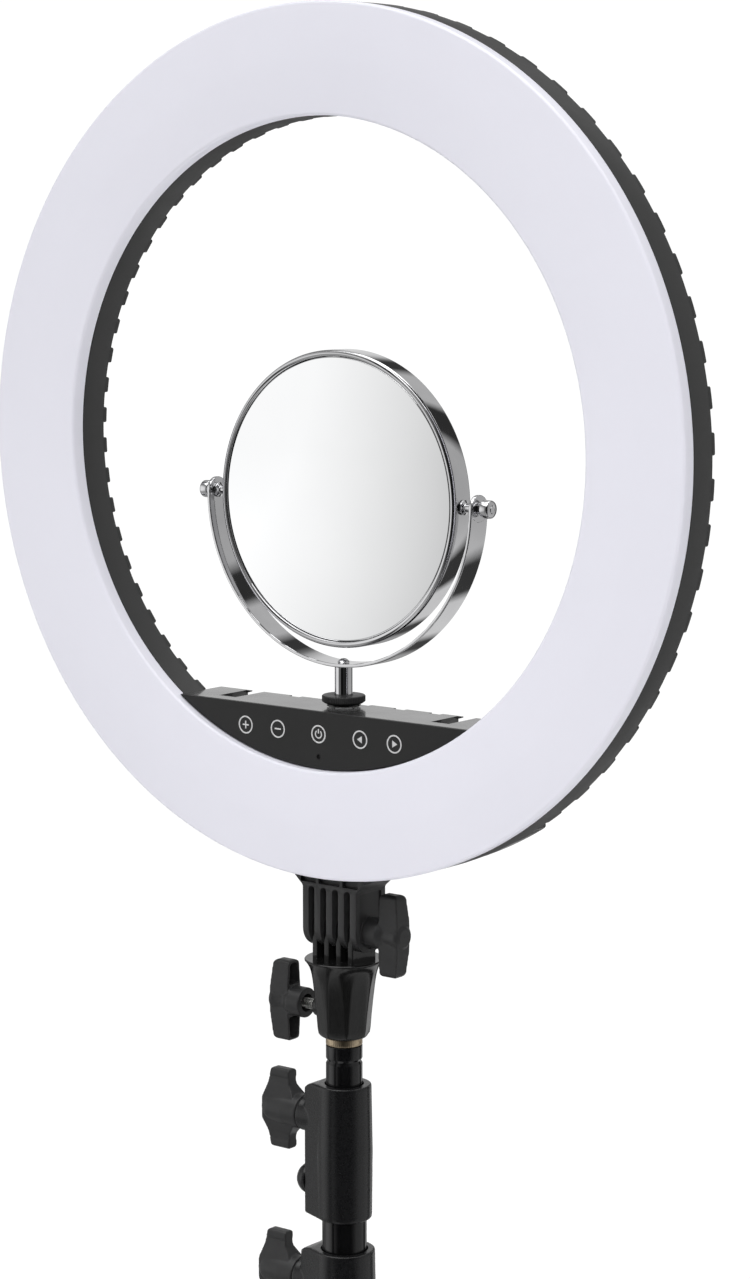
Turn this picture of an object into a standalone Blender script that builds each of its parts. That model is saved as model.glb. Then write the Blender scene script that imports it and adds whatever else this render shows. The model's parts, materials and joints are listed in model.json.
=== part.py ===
"""Ring light with a vanity mirror on a three-section folding stand.

The light faces -Y and stands on the floor at z = 0. All sizes are in metres.
Ring-frame points are measured from the ring's centre, with y = 0 on the face of the diffuser.
"""
import math

import bmesh
import bpy
from mathutils import Matrix, Vector

# ---- driving dimensions: the ring head ----
RING_OUTER_R = 0.2400
RING_INNER_R = 0.1793
RING_Z = 1.165              # height of the ring's centre above the floor
AXIS_BEHIND_FACE = 0.0274   # stand, bracket and mirror post share one vertical axis
DIFFUSER_DEPTH = 0.0092
DIFFUSER_WALL = 0.0020
EDGE_FILLET = 0.0034
TRAY_BACK = 0.0263          # depth of the black tray's rear face
TRAY_WALL = 0.0024
COVER_BACK = 0.0293         # depth of the castellated rear cover's face
TOOTH_COUNT = 64
TOOTH_HEIGHT = 0.0034
SHELF_Z = -0.146            # flat top of the control box, in the ring frame
BOX_BACK = 0.0415
BOX_WALL = 0.0025
BULGE_R = 0.2394            # outer radius of the control box behind the ring
BULGE_HALF_ANGLE = math.radians(33)
PANEL_FACE = 0.0050
PANEL_THICK = 0.0017
NOTCH_INNER_X = 0.0697
NOTCH_WIDTH = 0.0120
NOTCH_FRONT = 0.0160
NOTCH_DEPTH = 0.0055
BOX_CLEARANCE = 0.0006      # between the box and the ring's inner wall
INLET_X = 0.0750
INLET_Z = -0.2050
INLET_R = 0.0052

# ---- driving dimensions: the mirror ----
MIRROR_Z = -0.030
MIRROR_R = 0.0825
MIRROR_DEPTH = 0.0160
MIRROR_BEZEL = 0.0035
GLASS_THICK = 0.0025
YOKE_R = 0.0935             # outer radius of the yoke band
YOKE_THICK = 0.0020
YOKE_WIDTH = 0.0150
EAR_PROUD = 0.0002          # how far a yoke ear stands proud of the band, inside and out
POST_R = 0.0050
NUT_R = 0.0122
NUT_RISE = 0.0018           # height of the nut's underside over the shelf

# ---- driving dimensions: tilt bracket, socket and lock knobs ----
TILT_Z = -0.2725
COMB_HALF_X = 0.0190
COMB_HALF_Y = 0.0120
TOOTH_PITCH = 0.0085
UPPER_TOOTH = 0.0042
LOWER_TOOTH = 0.0036
LOWER_COMB_R = 0.0105
SLOT_TOP_Z = -0.2480
SOCKET_TOP_Z = -0.2900
SOCKET_BOTTOM_Z = -0.3355
SOCKET_SCREW_Z = -0.3205
SPIGOT_FLANGE_R = 0.01045
SPIGOT_FLANGE_Z = -0.3400
SPIGOT_GROOVE_R = 0.0068    # bottom of the groove that the socket's screw grips
SCREW_R = 0.0030
KNOB_SPAN = 0.0470

# ---- driving dimensions: the stand, heights above the floor ----
TOP_TUBE_R = 0.0104
MIDDLE_TUBE_R = 0.01275
OUTER_TUBE_R = 0.0150
TUBE_WALL = 0.0011
COLLAR_HEIGHT = 0.0790
UPPER_COLLAR_TOP = RING_Z - 0.3630
LOWER_COLLAR_TOP = RING_Z - 0.4600
COLLAR_KNOB_DROP = 0.0220   # clamp screw below a collar's top
COLLAR_RIVET_DROP = 0.0600
RIVET_R = 0.0096            # half-round head on a collar's block
COLUMN_FOOT_Z = 0.0500
LEG_PIVOT_R = 0.0275
LEG_PIVOT_Z = 0.2900
LEG_SCREW_RISE = 0.0340     # lock screw above the legs' pivots
LEG_ANGLE = math.radians(60)    # from vertical, legs open
LEG_TO_BRACE = 0.2500
BRACE_PIVOT_R = 0.0250
BRACE_PIVOT_Z = 0.0700
LEG_TUBE_R = 0.0080
LEG_TUBE_WALL = 0.0010
FOOT_R = 0.0115
FOOT_FLAT = 0.0015          # how far the ball of a foot is cut flat by the floor

PIVOT_PIN_R = 0.0020
PIVOT_HOLE_R = 0.0023
GAP = 0.0003
SLIDE_GAP = 0.0002          # between a sliding tube's bushing and the tube around it
RING_STEPS = 48
MIRROR_STEPS = 32
TUBE_STEPS = 16
COLLAR_STEPS = 20
EAR_STEPS = 4

# ---- places that follow from them ----
LEG_REACH = LEG_PIVOT_R + 0.560 * math.sin(LEG_ANGLE)
STAND_Y = LEG_REACH / 4     # centres the three feet on the origin, front to back
RING_CENTRE = Vector((0, STAND_Y - AXIS_BEHIND_FACE, RING_Z))
LEG_LENGTH = (LEG_PIVOT_Z - FOOT_R + FOOT_FLAT) / math.cos(LEG_ANGLE)
LEG_AZIMUTHS = [math.radians(a) for a in (-90, 30, 150)]

FRONTWARD = (math.radians(90), 0, 0)        # local Z points to -Y, local Y points up
TO_PLUS_X = (0, math.radians(90), 0)        # local Z points to +X
TO_MINUS_X = (0, math.radians(-90), 0)      # local Z points to -X

BLACK_PLASTIC = dict(color=(0.030, 0.030, 0.033), roughness=0.55, metallic=0.0)
GLOSS_BLACK = dict(color=(0.012, 0.012, 0.013), roughness=0.18, metallic=0.0)
BLACK_PAINT = dict(color=(0.022, 0.022, 0.024), roughness=0.42, metallic=0.2)
WHITE_ACRYLIC = dict(color=(0.80, 0.80, 0.86), roughness=0.45, metallic=0.0)
CHROME = dict(color=(0.82, 0.82, 0.84), roughness=0.07, metallic=1.0)
ZINC = dict(color=(0.72, 0.72, 0.70), roughness=0.28, metallic=1.0)
BRASS = dict(color=(0.62, 0.50, 0.34), roughness=0.35, metallic=1.0)
CIRCUIT = dict(color=(0.78, 0.80, 0.78), roughness=0.45, metallic=0.0)
GREEN_BOARD = dict(color=(0.02, 0.16, 0.07), roughness=0.45, metallic=0.0)
MIRROR_GLASS = dict(color=(0.90, 0.91, 0.92), roughness=0.02, metallic=1.0)
RUBBER = dict(color=(0.015, 0.015, 0.015), roughness=0.85, metallic=0.0)

parts = None
helpers = None


# ---- scene and object helpers ----

def clear_scene():
    for obj in list(bpy.data.objects):
        bpy.data.objects.remove(obj, do_unlink=True)


def make_collection(name):
    collection = bpy.data.collections.new(name)
    bpy.context.scene.collection.children.link(collection)
    return collection


def make_material(name, look):
    material = bpy.data.materials.new(name)
    material.use_nodes = True
    shader = material.node_tree.nodes["Principled BSDF"]
    shader.inputs["Base Color"].default_value = (*look["color"], 1.0)
    shader.inputs["Roughness"].default_value = look["roughness"]
    shader.inputs["Metallic"].default_value = look["metallic"]
    return material


def add_object(name, data, location=(0, 0, 0), rotation=(0, 0, 0)):
    obj = bpy.data.objects.new(name, data)
    obj.location = location
    obj.rotation_euler = rotation
    helpers.objects.link(obj)
    return obj


def add_axis(name, location, parent=None):
    """An empty on a joint's axis, which carries the pieces that move with the joint."""
    empty = add_object(name, None, location)
    empty.empty_display_size = 0.03
    if parent:
        attach(empty, parent)
    return empty


def attach(child, parent):
    """Parents child and keeps it where its own location and rotation put it."""
    child.parent = parent
    child.matrix_parent_inverse = parent.matrix_basis.inverted()


def hide_helper(obj):
    obj.hide_render = True
    obj.display_type = "WIRE"


def finish_part(obj, axis, look, smooth_angle=35):
    """Moves obj to the parts collection, gives it its material and hangs it on its axis."""
    helpers.objects.unlink(obj)
    parts.objects.link(obj)
    obj.data.materials.clear()
    obj.data.materials.append(make_material(obj.name, look))
    obj.data.shade_smooth()
    obj.data.set_sharp_from_angle(angle=math.radians(smooth_angle))
    attach(obj, axis)
    return obj


def boolean(obj, tool, operation):
    modifier = obj.modifiers.new(operation.title() + "_" + tool.name, "BOOLEAN")
    modifier.operation = operation
    modifier.solver = "EXACT"
    modifier.object = tool
    hide_helper(tool)


def cut(obj, *tools):
    for tool in tools:
        boolean(obj, tool, "DIFFERENCE")


def join(obj, *tools):
    for tool in tools:
        boolean(obj, tool, "UNION")


def follow(axis, *tools):
    for tool in tools:
        attach(tool, axis)


def on_ring(x, y, z):
    """World position of a ring-frame point."""
    return RING_CENTRE + Vector((x, y, z))


def on_stand(z, x=0.0):
    return Vector((x, STAND_Y, z))


# ---- shape helpers ----

def box(name, low, high, bevel=0.0):
    """A block between two world corners, with its own origin at its centre."""
    low, high = Vector(low), Vector(high)
    mesh = bpy.data.meshes.new(name)
    bm = bmesh.new()
    bmesh.ops.create_cube(bm, size=1.0)
    bmesh.ops.scale(bm, vec=high - low, verts=bm.verts)
    bm.to_mesh(mesh)
    bm.free()
    obj = add_object(name, mesh, (low + high) / 2)
    if bevel:
        modifier = obj.modifiers.new("Rounded_edges", "BEVEL")
        modifier.width = bevel
        modifier.segments = 1
        modifier.limit_method = "ANGLE"
    return obj


def cylinder(name, radius, length, location, rotation=(0, 0, 0), steps=TUBE_STEPS):
    """A rod whose local Z runs along it from its start, at the given location."""
    mesh = bpy.data.meshes.new(name)
    bm = bmesh.new()
    bmesh.ops.create_cone(bm, cap_ends=True, segments=steps, radius1=radius, radius2=radius, depth=length)
    bmesh.ops.translate(bm, vec=(0, 0, length / 2), verts=bm.verts)
    bm.to_mesh(mesh)
    bm.free()
    return add_object(name, mesh, location, rotation)


def turned(name, profile, location, rotation=(0, 0, 0), steps=TUBE_STEPS, closed=True):
    """Spins (radius, height) points about local Z; the outer side runs from top to bottom.

    A closed profile is a ring's section. An open one starts and ends on the axis.
    """
    mesh = bpy.data.meshes.new(name)
    bm = bmesh.new()
    verts = [bm.verts.new((radius, 0, height)) for radius, height in profile]
    edges = list(zip(verts, verts[1:]))
    if closed:
        edges.append((verts[-1], verts[0]))
    for pair in edges:
        bm.edges.new(pair)
    bm.to_mesh(mesh)
    bm.free()
    obj = add_object(name, mesh, location, rotation)
    screw = obj.modifiers.new("Turned", "SCREW")
    screw.axis = "Z"
    screw.steps = steps
    screw.render_steps = steps
    screw.use_merge_vertices = True
    screw.merge_threshold = 0.00001
    screw.use_normal_calculate = False
    return obj


def tube(name, outer_r, inner_r, bottom, top):
    """A vertical tube on the stand's axis, open at both ends."""
    profile = [(outer_r, top), (outer_r, bottom), (inner_r, bottom), (inner_r, top)]
    return turned(name, profile, on_stand(0))


def as_mesh(curve_object):
    """Turns a filled curve into a closed mesh object of the same name and place."""
    bpy.context.view_layer.update()
    evaluated = curve_object.evaluated_get(bpy.context.evaluated_depsgraph_get())
    mesh = bpy.data.meshes.new_from_object(evaluated)
    bm = bmesh.new()
    bm.from_mesh(mesh)
    bmesh.ops.remove_doubles(bm, verts=bm.verts, dist=0.000001)
    bmesh.ops.recalc_face_normals(bm, faces=bm.faces)
    bm.to_mesh(mesh)
    bm.free()
    name = curve_object.name
    placed = curve_object.matrix_world.copy()
    bpy.data.objects.remove(curve_object, do_unlink=True)
    obj = add_object(name, mesh)
    obj.name = name
    obj.matrix_world = placed
    return obj


def plate(name, outlines, thickness, location, rotation=FRONTWARD):
    """Extrudes flat outlines by thickness, centred on the location; inner outlines are holes."""
    curve = bpy.data.curves.new(name, "CURVE")
    curve.dimensions = "2D"
    curve.fill_mode = "BOTH"
    curve.extrude = thickness / 2
    for outline in outlines:
        spline = curve.splines.new("POLY")
        spline.points.add(len(outline) - 1)
        for point, (x, y) in zip(spline.points, outline):
            point.co = (x, y, 0, 1)
        spline.use_cyclic_u = True
    return as_mesh(add_object(name, curve, location, rotation))


def arc(radius, start, end, steps, centre=(0, 0)):
    """Points along an arc, angles in radians, both ends included."""
    turn = (end - start) / steps
    angles = [start + turn * i for i in range(steps + 1)]
    return [(centre[0] + radius * math.cos(a), centre[1] + radius * math.sin(a)) for a in angles]


def fillet(centre_r, centre_h, radius, start, end, steps=2):
    """Profile points along a rounded edge, angles in degrees."""
    return arc(radius, math.radians(start), math.radians(end), steps, (centre_r, centre_h))


# ---- the ring head ----

def make_diffuser(axis):
    """White channel, open at the back. Its height axis points to the front."""
    outer, inner, depth = RING_OUTER_R, RING_INNER_R, -DIFFUSER_DEPTH
    profile = fillet(inner + EDGE_FILLET, -EDGE_FILLET, EDGE_FILLET, 180, 90, 1)
    profile += fillet(outer - EDGE_FILLET, -EDGE_FILLET, EDGE_FILLET, 90, 0, 1)
    profile += [(outer, depth), (outer - DIFFUSER_WALL, depth), (outer - DIFFUSER_WALL, -DIFFUSER_WALL)]
    profile += [(inner + DIFFUSER_WALL, -DIFFUSER_WALL), (inner + DIFFUSER_WALL, depth), (inner, depth)]
    obj = turned("diffuser", profile, RING_CENTRE, FRONTWARD, RING_STEPS)
    finish_part(obj, axis, WHITE_ACRYLIC)


def make_ring_tray(axis):
    """Black channel behind the diffuser, open to the front."""
    front, back = -(DIFFUSER_DEPTH + GAP), -TRAY_BACK
    floor = back + 0.0018
    outer, inner = RING_OUTER_R, RING_INNER_R
    profile = [(outer, front), (outer, back), (inner, back), (inner, front)]
    profile += [(inner + TRAY_WALL, front), (inner + TRAY_WALL, floor)]
    profile += [(outer - TRAY_WALL, floor), (outer - TRAY_WALL, front)]
    obj = turned("ring_tray", profile, RING_CENTRE, FRONTWARD, RING_STEPS)
    finish_part(obj, axis, BLACK_PLASTIC)


def make_led_board(axis):
    """Ring-shaped circuit board that carries the light-emitting diodes, on the tray's floor."""
    outer, inner = RING_OUTER_R - 0.006, RING_INNER_R + 0.006
    back = -TRAY_BACK + 0.0018 + GAP
    front = back + 0.0016
    profile = [(outer, front), (outer, back), (inner, back), (inner, front)]
    obj = turned("led_board", profile, RING_CENTRE, FRONTWARD, MIRROR_STEPS)
    finish_part(obj, axis, CIRCUIT)


def castellated_circle(radius, tooth_radius):
    """A circle whose edge steps between two radii, TOOTH_COUNT times."""
    points = []
    pitch = 2 * math.pi / TOOTH_COUNT
    for tooth in range(TOOTH_COUNT):
        start = (tooth + 0.25) * pitch
        end = start + 0.5 * pitch
        for r, angle in ((radius, start), (tooth_radius, start), (tooth_radius, end), (radius, end)):
            points.append((r * math.cos(angle), r * math.sin(angle)))
    return points


def make_rear_cover(axis):
    """Flat ring with vent slots between the teeth along both of its edges."""
    front, back = TRAY_BACK + GAP, COVER_BACK
    outer = castellated_circle(RING_OUTER_R - TOOTH_HEIGHT, RING_OUTER_R)
    inner = castellated_circle(RING_INNER_R + TOOTH_HEIGHT, RING_INNER_R)
    place = on_ring(0, (front + back) / 2, 0)
    obj = plate("rear_cover", [outer, inner], back - front, place)
    finish_part(obj, axis, BLACK_PLASTIC)


def segment_outline(radius, top_z, steps=16):
    """Circular segment below a level line, counter-clockwise from its left tip."""
    tip = math.asin(top_z / radius)
    return arc(radius, -math.pi - tip, tip, steps)


def bulge_outline():
    """Outline of the control box behind the ring: a wide sector cut off by the shelf."""
    down = -math.pi / 2
    rim = arc(BULGE_R, down - BULGE_HALF_ANGLE, down + BULGE_HALF_ANGLE, 20)
    shoulder = math.sqrt((RING_INNER_R - BOX_CLEARANCE) ** 2 - SHELF_Z ** 2)
    return rim + [(shoulder, SHELF_Z), (-shoulder, SHELF_Z)]


def bulge_pocket_outline():
    """Arched room behind the ring's rear cover, a wall's thickness inside the bulge."""
    down = -math.pi / 2
    half = BULGE_HALF_ANGLE - BOX_WALL / RING_INNER_R
    rim = arc(BULGE_R - BOX_WALL, down - half, down + half, 20)
    return rim + arc(RING_INNER_R + 0.0010, down + half, down - half, 16)


def ring_plate(name, outlines, front, back):
    """A plate parallel to the ring between two depths behind its face."""
    return plate(name, outlines, back - front, on_ring(0, (front + back) / 2, 0))


def make_control_box(axis):
    """Control box in the foot of the hole: a deep shelf, wider behind the ring, open to the front."""
    front = PANEL_FACE + PANEL_THICK + GAP
    step = COVER_BACK + GAP
    floor = BOX_BACK - BOX_WALL
    radius = RING_INNER_R - BOX_CLEARANCE
    segment = segment_outline(radius, SHELF_Z)
    pocket = segment_outline(radius - BOX_WALL, SHELF_Z - BOX_WALL)
    obj = ring_plate("control_box", [segment], front, step + 0.002)
    bulge = ring_plate("Box_bulge", [bulge_outline()], step, BOX_BACK)
    deep = ring_plate("Box_pocket", [pocket], front - 0.002, floor)
    wide = ring_plate("Box_wide_pocket", [bulge_pocket_outline()], step - 0.001, floor)
    inlet_hole = cylinder("Box_inlet_hole", INLET_R + GAP, 0.008,
                          on_ring(INLET_X, BOX_BACK + 0.002, INLET_Z), FRONTWARD, 16)
    notches = [make_notch(side) for side in (-1, 1)]
    follow(axis, bulge, deep, wide, inlet_hole, *notches)
    join(obj, bulge)
    cut(obj, deep, wide, inlet_hole, *notches)
    finish_part(obj, axis, BLACK_PLASTIC, 30)


def make_notch(side):
    """Snap slot in a rear corner of the shelf, open to the back, as a cutter."""
    near, far = side * NOTCH_INNER_X, side * (NOTCH_INNER_X + NOTCH_WIDTH)
    low = on_ring(min(near, far), NOTCH_FRONT, SHELF_Z - NOTCH_DEPTH)
    high = on_ring(max(near, far), BOX_BACK + 0.001, SHELF_Z + 0.001)
    return box("Notch_cutter_left" if side < 0 else "Notch_cutter_right", low, high)


def make_touch_panel(axis):
    """Flat panel with the touch symbols, in front of the control box."""
    outline = segment_outline(RING_INNER_R - BOX_CLEARANCE, SHELF_Z)
    obj = ring_plate("touch_panel", [outline], PANEL_FACE, PANEL_FACE + PANEL_THICK)
    finish_part(obj, axis, BLACK_PLASTIC)


def make_boards(axis):
    """Touch circuit behind the panel and the lamp's driver behind the ring."""
    outline = segment_outline(RING_INNER_R - 0.0050, SHELF_Z - 0.0040, 10)
    finish_part(ring_plate("touch_board", [outline], 0.0085, 0.0101), axis, GREEN_BOARD)
    board = box("driver_board", on_ring(-0.048, 0.0320, -0.2240), on_ring(0.048, 0.0336, -0.1860))
    finish_part(board, axis, GREEN_BOARD)


def make_power_inlet(axis):
    """Round low-voltage inlet in the rear wall, with its centre pin."""
    lip_face, well, pin = 0.0015, -0.0075, 0.0010
    profile = [(0, -0.0010), (pin, -0.0010), (pin, well), (0.0030, well), (0.0030, lip_face)]
    profile += [(0.0068, lip_face), (0.0068, GAP), (INLET_R, GAP), (INLET_R, -0.0095), (0, -0.0095)]
    rearward = (math.radians(-90), 0, 0)
    obj = turned("power_inlet", profile, on_ring(INLET_X, BOX_BACK, INLET_Z), rearward, 16, closed=False)
    finish_part(obj, axis, BLACK_PLASTIC)


# ---- the mirror ----

def make_mirror_seat(axis):
    """Flat washer on the shelf, under the knurled nut."""
    top = SHELF_Z + NUT_RISE
    profile = [(0.0095, top - GAP), (0.0095, SHELF_Z + GAP), (0.0055, SHELF_Z + GAP), (0.0055, top - GAP)]
    obj = turned("mirror_seat", profile, on_ring(0, AXIS_BEHIND_FACE, 0))
    finish_part(obj, axis, GLOSS_BLACK)


def make_mirror_nut(axis):
    """Knurled nut that locks the mirror's post."""
    low = SHELF_Z + NUT_RISE
    high = low + 0.0044
    edge = 0.0006
    profile = [(NUT_R - edge, high), (NUT_R, high - edge), (NUT_R, low + edge), (NUT_R - edge, low)]
    profile += [(POST_R + GAP, low), (POST_R + GAP, high)]
    obj = turned("mirror_nut", profile, on_ring(0, AXIS_BEHIND_FACE, 0), steps=COLLAR_STEPS)
    finish_part(obj, axis, BLACK_PAINT)


def make_mirror_post(axis):
    """Chrome post from the shelf to the foot of the yoke."""
    low = SHELF_Z + GAP
    high = MIRROR_Z - YOKE_R - GAP
    edge = 0.0008
    profile = [(0, high), (POST_R - edge, high), (POST_R, high - edge), (POST_R, low), (0, low)]
    obj = turned("mirror_post", profile, on_ring(0, AXIS_BEHIND_FACE, 0), closed=False)
    finish_part(obj, axis, CHROME)


def make_mirror_yoke(axis):
    """Half-round band that carries the mirror, with round ears at its ends."""
    inner = YOKE_R - YOKE_THICK
    band = arc(YOKE_R, math.pi, 2 * math.pi, 28) + arc(inner, 2 * math.pi, math.pi, 28)
    place = on_ring(0, AXIS_BEHIND_FACE, MIRROR_Z)
    obj = plate("mirror_yoke", [band], YOKE_WIDTH, place)
    for side in (-1, 1):
        label = "Left" if side < 0 else "Right"
        start = place + Vector((side * (inner - EAR_PROUD), 0, 0))
        turn = TO_PLUS_X if side > 0 else TO_MINUS_X
        ear = cylinder(label + "_yoke_ear", YOKE_WIDTH / 2, YOKE_THICK + 2 * EAR_PROUD, start, turn, 16)
        before = start - Vector((side * 0.002, 0, 0))
        hole = cylinder(label + "_yoke_hole", 0.0024, 0.006, before, turn, 12)
        follow(axis, ear, hole)
        join(obj, ear)
        cut(obj, hole)
    finish_part(obj, axis, CHROME)


def make_yoke_screw(axis):
    """Domed screw inside the foot of the yoke."""
    seat = MIRROR_Z - YOKE_R + YOKE_THICK + GAP
    profile = [(0, seat + 0.0022), (0.0022, seat + 0.0017), (0.0035, seat), (0, seat)]
    obj = turned("yoke_screw", profile, on_ring(0, AXIS_BEHIND_FACE, 0), steps=16, closed=False)
    finish_part(obj, axis, CHROME)


def make_mirror_frame(axis):
    """Chrome hoop with a lip on each face; the glasses sit inside the lips."""
    half = MIRROR_DEPTH / 2
    lip_r = MIRROR_R - MIRROR_BEZEL
    bed = half - 0.0012
    core_r = lip_r - 0.0030
    profile = [(lip_r, half), (MIRROR_R - 0.0012, half), (MIRROR_R, half - 0.0025)]
    profile += [(MIRROR_R, 0.0025 - half), (MIRROR_R - 0.0012, -half), (lip_r, -half)]
    profile += [(lip_r, -bed + GLASS_THICK + GAP), (core_r, -bed + GLASS_THICK + GAP)]
    profile += [(core_r, bed - GLASS_THICK - GAP), (lip_r, bed - GLASS_THICK - GAP)]
    place = on_ring(0, AXIS_BEHIND_FACE, MIRROR_Z)
    obj = turned("mirror_frame", profile, place, FRONTWARD, MIRROR_STEPS)
    finish_part(obj, axis, CHROME)


def make_mirror_glasses(axis):
    """One glass on each face, bedded inside the hoop."""
    bed = MIRROR_DEPTH / 2 - 0.0012
    radius = MIRROR_R - MIRROR_BEZEL - GAP
    for name, low in (("mirror_glass_front", bed - GLASS_THICK), ("mirror_glass_back", -bed)):
        profile = [(0, low + GLASS_THICK), (radius, low + GLASS_THICK), (radius, low), (0, low)]
        place = on_ring(0, AXIS_BEHIND_FACE, MIRROR_Z)
        obj = turned(name, profile, place, FRONTWARD, MIRROR_STEPS, closed=False)
        finish_part(obj, axis, MIRROR_GLASS)


def make_mirror_pivots(axis):
    """Ball-ended pins through the yoke's ears, each with a short spool against the hoop."""
    spool, pin, ball = 0.0034, 0.0020, 0.0050
    inner, outer = YOKE_R - YOKE_THICK - EAR_PROUD - GAP, YOKE_R + EAR_PROUD + GAP
    start = MIRROR_R + GAP
    tip = outer + 0.0080
    profile = [(0, tip), (0.0028, tip - 0.0004), (ball - 0.0006, tip - 0.0018), (ball, tip - 0.0034)]
    profile += [(ball - 0.0004, outer + 0.0022), (0.0036, outer + 0.0010), (0.0036, outer)]
    profile += [(pin, outer), (pin, inner)]
    profile += [(0.0042, inner), (0.0042, inner - 0.0012), (spool - 0.0010, inner - 0.0022)]
    profile += [(spool - 0.0010, start + 0.0022), (0.0042, start + 0.0008), (0.0042, start), (0, start)]
    for name, turn in (("pivot_pin_left", TO_MINUS_X), ("pivot_pin_right", TO_PLUS_X)):
        obj = turned(name, profile, on_ring(0, AXIS_BEHIND_FACE, MIRROR_Z), turn, 12, closed=False)
        finish_part(obj, axis, CHROME)


# ---- tilt bracket, socket and their knobs ----

def comb_cutters(name, count, width, low_z, high_z, axis):
    """Blocks that cut the gaps of a comb hinge, side by side along X."""
    first = -(count - 1) / 2 * TOOTH_PITCH
    blocks = []
    for index in range(count):
        x = first + index * TOOTH_PITCH
        low = on_ring(x - width / 2, AXIS_BEHIND_FACE - 0.03, low_z)
        high = on_ring(x + width / 2, AXIS_BEHIND_FACE + 0.03, high_z)
        blocks.append(box(name + "_" + str(index + 1), low, high))
    follow(axis, *blocks)
    return blocks


def make_tilt_bracket(axis):
    """Comb under the ring, flared where it carries the ring, rounded about the hinge."""
    sideways = (math.radians(90), 0, math.radians(90))
    outline = [(COMB_HALF_Y, -0.236), (-COMB_HALF_Y, -0.236)]
    outline += arc(COMB_HALF_Y, math.pi, 2 * math.pi, 8, (0, TILT_Z))
    obj = plate("tilt_bracket", [outline], 2 * COMB_HALF_X, on_ring(0, AXIS_BEHIND_FACE, 0), sideways)
    flare = [(-0.0250, -0.2360), (-0.0250, -0.2425), (-COMB_HALF_X + 0.001, -0.2475)]
    flare += [(-x, z) for x, z in reversed(flare)]
    wide = plate("Bracket_flare", [flare], 2 * COMB_HALF_Y + 0.0030, on_ring(0, AXIS_BEHIND_FACE, 0))
    behind_ring = on_ring(0, COVER_BACK + GAP, 0)
    under_ring = cylinder("Ring_clearance", RING_OUTER_R + GAP, 0.060, behind_ring, FRONTWARD, 192)
    under_box = cylinder("Box_clearance", BULGE_R + GAP, 0.060, on_ring(0, 0.065, 0), FRONTWARD, 192)
    beside = on_ring(-0.030, AXIS_BEHIND_FACE, TILT_Z)
    bore = cylinder("Bracket_bore", SCREW_R + GAP, 0.060, beside, TO_PLUS_X, 12)
    follow(axis, wide, under_ring, under_box, bore)
    join(obj, wide)
    cut(obj, under_ring, under_box)
    cut(obj, *comb_cutters("Upper_gap", 4, TOOTH_PITCH - UPPER_TOOTH, -0.300, SLOT_TOP_Z, axis))
    cut(obj, bore)
    finish_part(obj, axis, BLACK_PLASTIC, 30)


def make_tilt_nut(axis):
    """Hexagon nut on the end of the tilt screw."""
    start = on_ring(-COMB_HALF_X - GAP, AXIS_BEHIND_FACE, TILT_Z)
    obj = cylinder("tilt_nut", 0.0055, 0.0045, start, TO_MINUS_X, 6)
    bore = cylinder("Tilt_nut_bore", SCREW_R + GAP, 0.012, start + Vector((0.003, 0, 0)), TO_MINUS_X, 16)
    follow(axis, bore)
    cut(obj, bore)
    finish_part(obj, axis, ZINC)


def knob_bar(name, steps_out, thickness, location, direction):
    """Wing of a lock knob: an outline of (axial, along) points, extruded by its thickness."""
    half = KNOB_SPAN / 2
    near, tip, crown, waist = steps_out
    side = [(near, half), (tip - 0.0015, half), (tip, half - 0.0015), (crown, waist)]
    outline = side + [(x, -z) for x, z in reversed(side)]
    outline = [(direction * x, z) for x, z in outline]
    obj = plate(name, [outline], thickness, location)
    modifier = obj.modifiers.new("Rounded_edges", "BEVEL")
    modifier.width = 0.0014
    modifier.segments = 1
    modifier.limit_method = "ANGLE"
    modifier.angle_limit = math.radians(50)
    return obj


def make_lock_knob(name, location, direction, kind, axis):
    """Wing knob on a horizontal screw. The location is the centre of the hub's inner face."""
    turn = TO_PLUS_X if direction > 0 else TO_MINUS_X
    if kind == "bar":
        profile = [(0, 0.0245), (0.0050, 0.0245), (0.0078, 0.0215), (0.0087, 0.0160)]
        profile += [(0.0087, 0), (0, 0)]
        steps_out, thickness = (0.0095, 0.0220, 0.0232, 0.0070), 0.0115
    else:
        profile = [(0, 0.0290), (0.0040, 0.0283), (0.0075, 0.0240), (0.0096, 0.0120)]
        profile += [(0.0096, 0), (0, 0)]
        steps_out, thickness = (0.0105, 0.0225, 0.0270, 0.0060), 0.0085
    hub = turned(name, profile, location, turn, 16, closed=False)
    bar = knob_bar(name.title() + "_wing", steps_out, thickness, location, direction)
    inward = location - Vector((direction * 0.004, 0, 0))
    bore = cylinder(name.title() + "_bore", SCREW_R + GAP, 0.0140, inward, turn)
    follow(axis, bar, bore)
    join(hub, bar)
    cut(hub, bore)
    finish_part(hub, axis, BLACK_PLASTIC, 40)


def make_lock_screw(name, knob_face, tip_x, axis):
    """Steel screw from inside a knob's hub to its tip, along X."""
    direction = 1 if tip_x > knob_face.x else -1
    start = knob_face - Vector((direction * 0.0095, 0, 0))
    turn = TO_PLUS_X if direction > 0 else TO_MINUS_X
    length = abs(tip_x - start.x)
    edge = 0.0006
    profile = [(0, length), (SCREW_R - edge, length), (SCREW_R, length - edge), (SCREW_R, edge)]
    profile += [(SCREW_R - edge, 0), (0, 0)]
    obj = turned(name, profile, start, turn, 16, closed=False)
    finish_part(obj, axis, ZINC)


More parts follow.
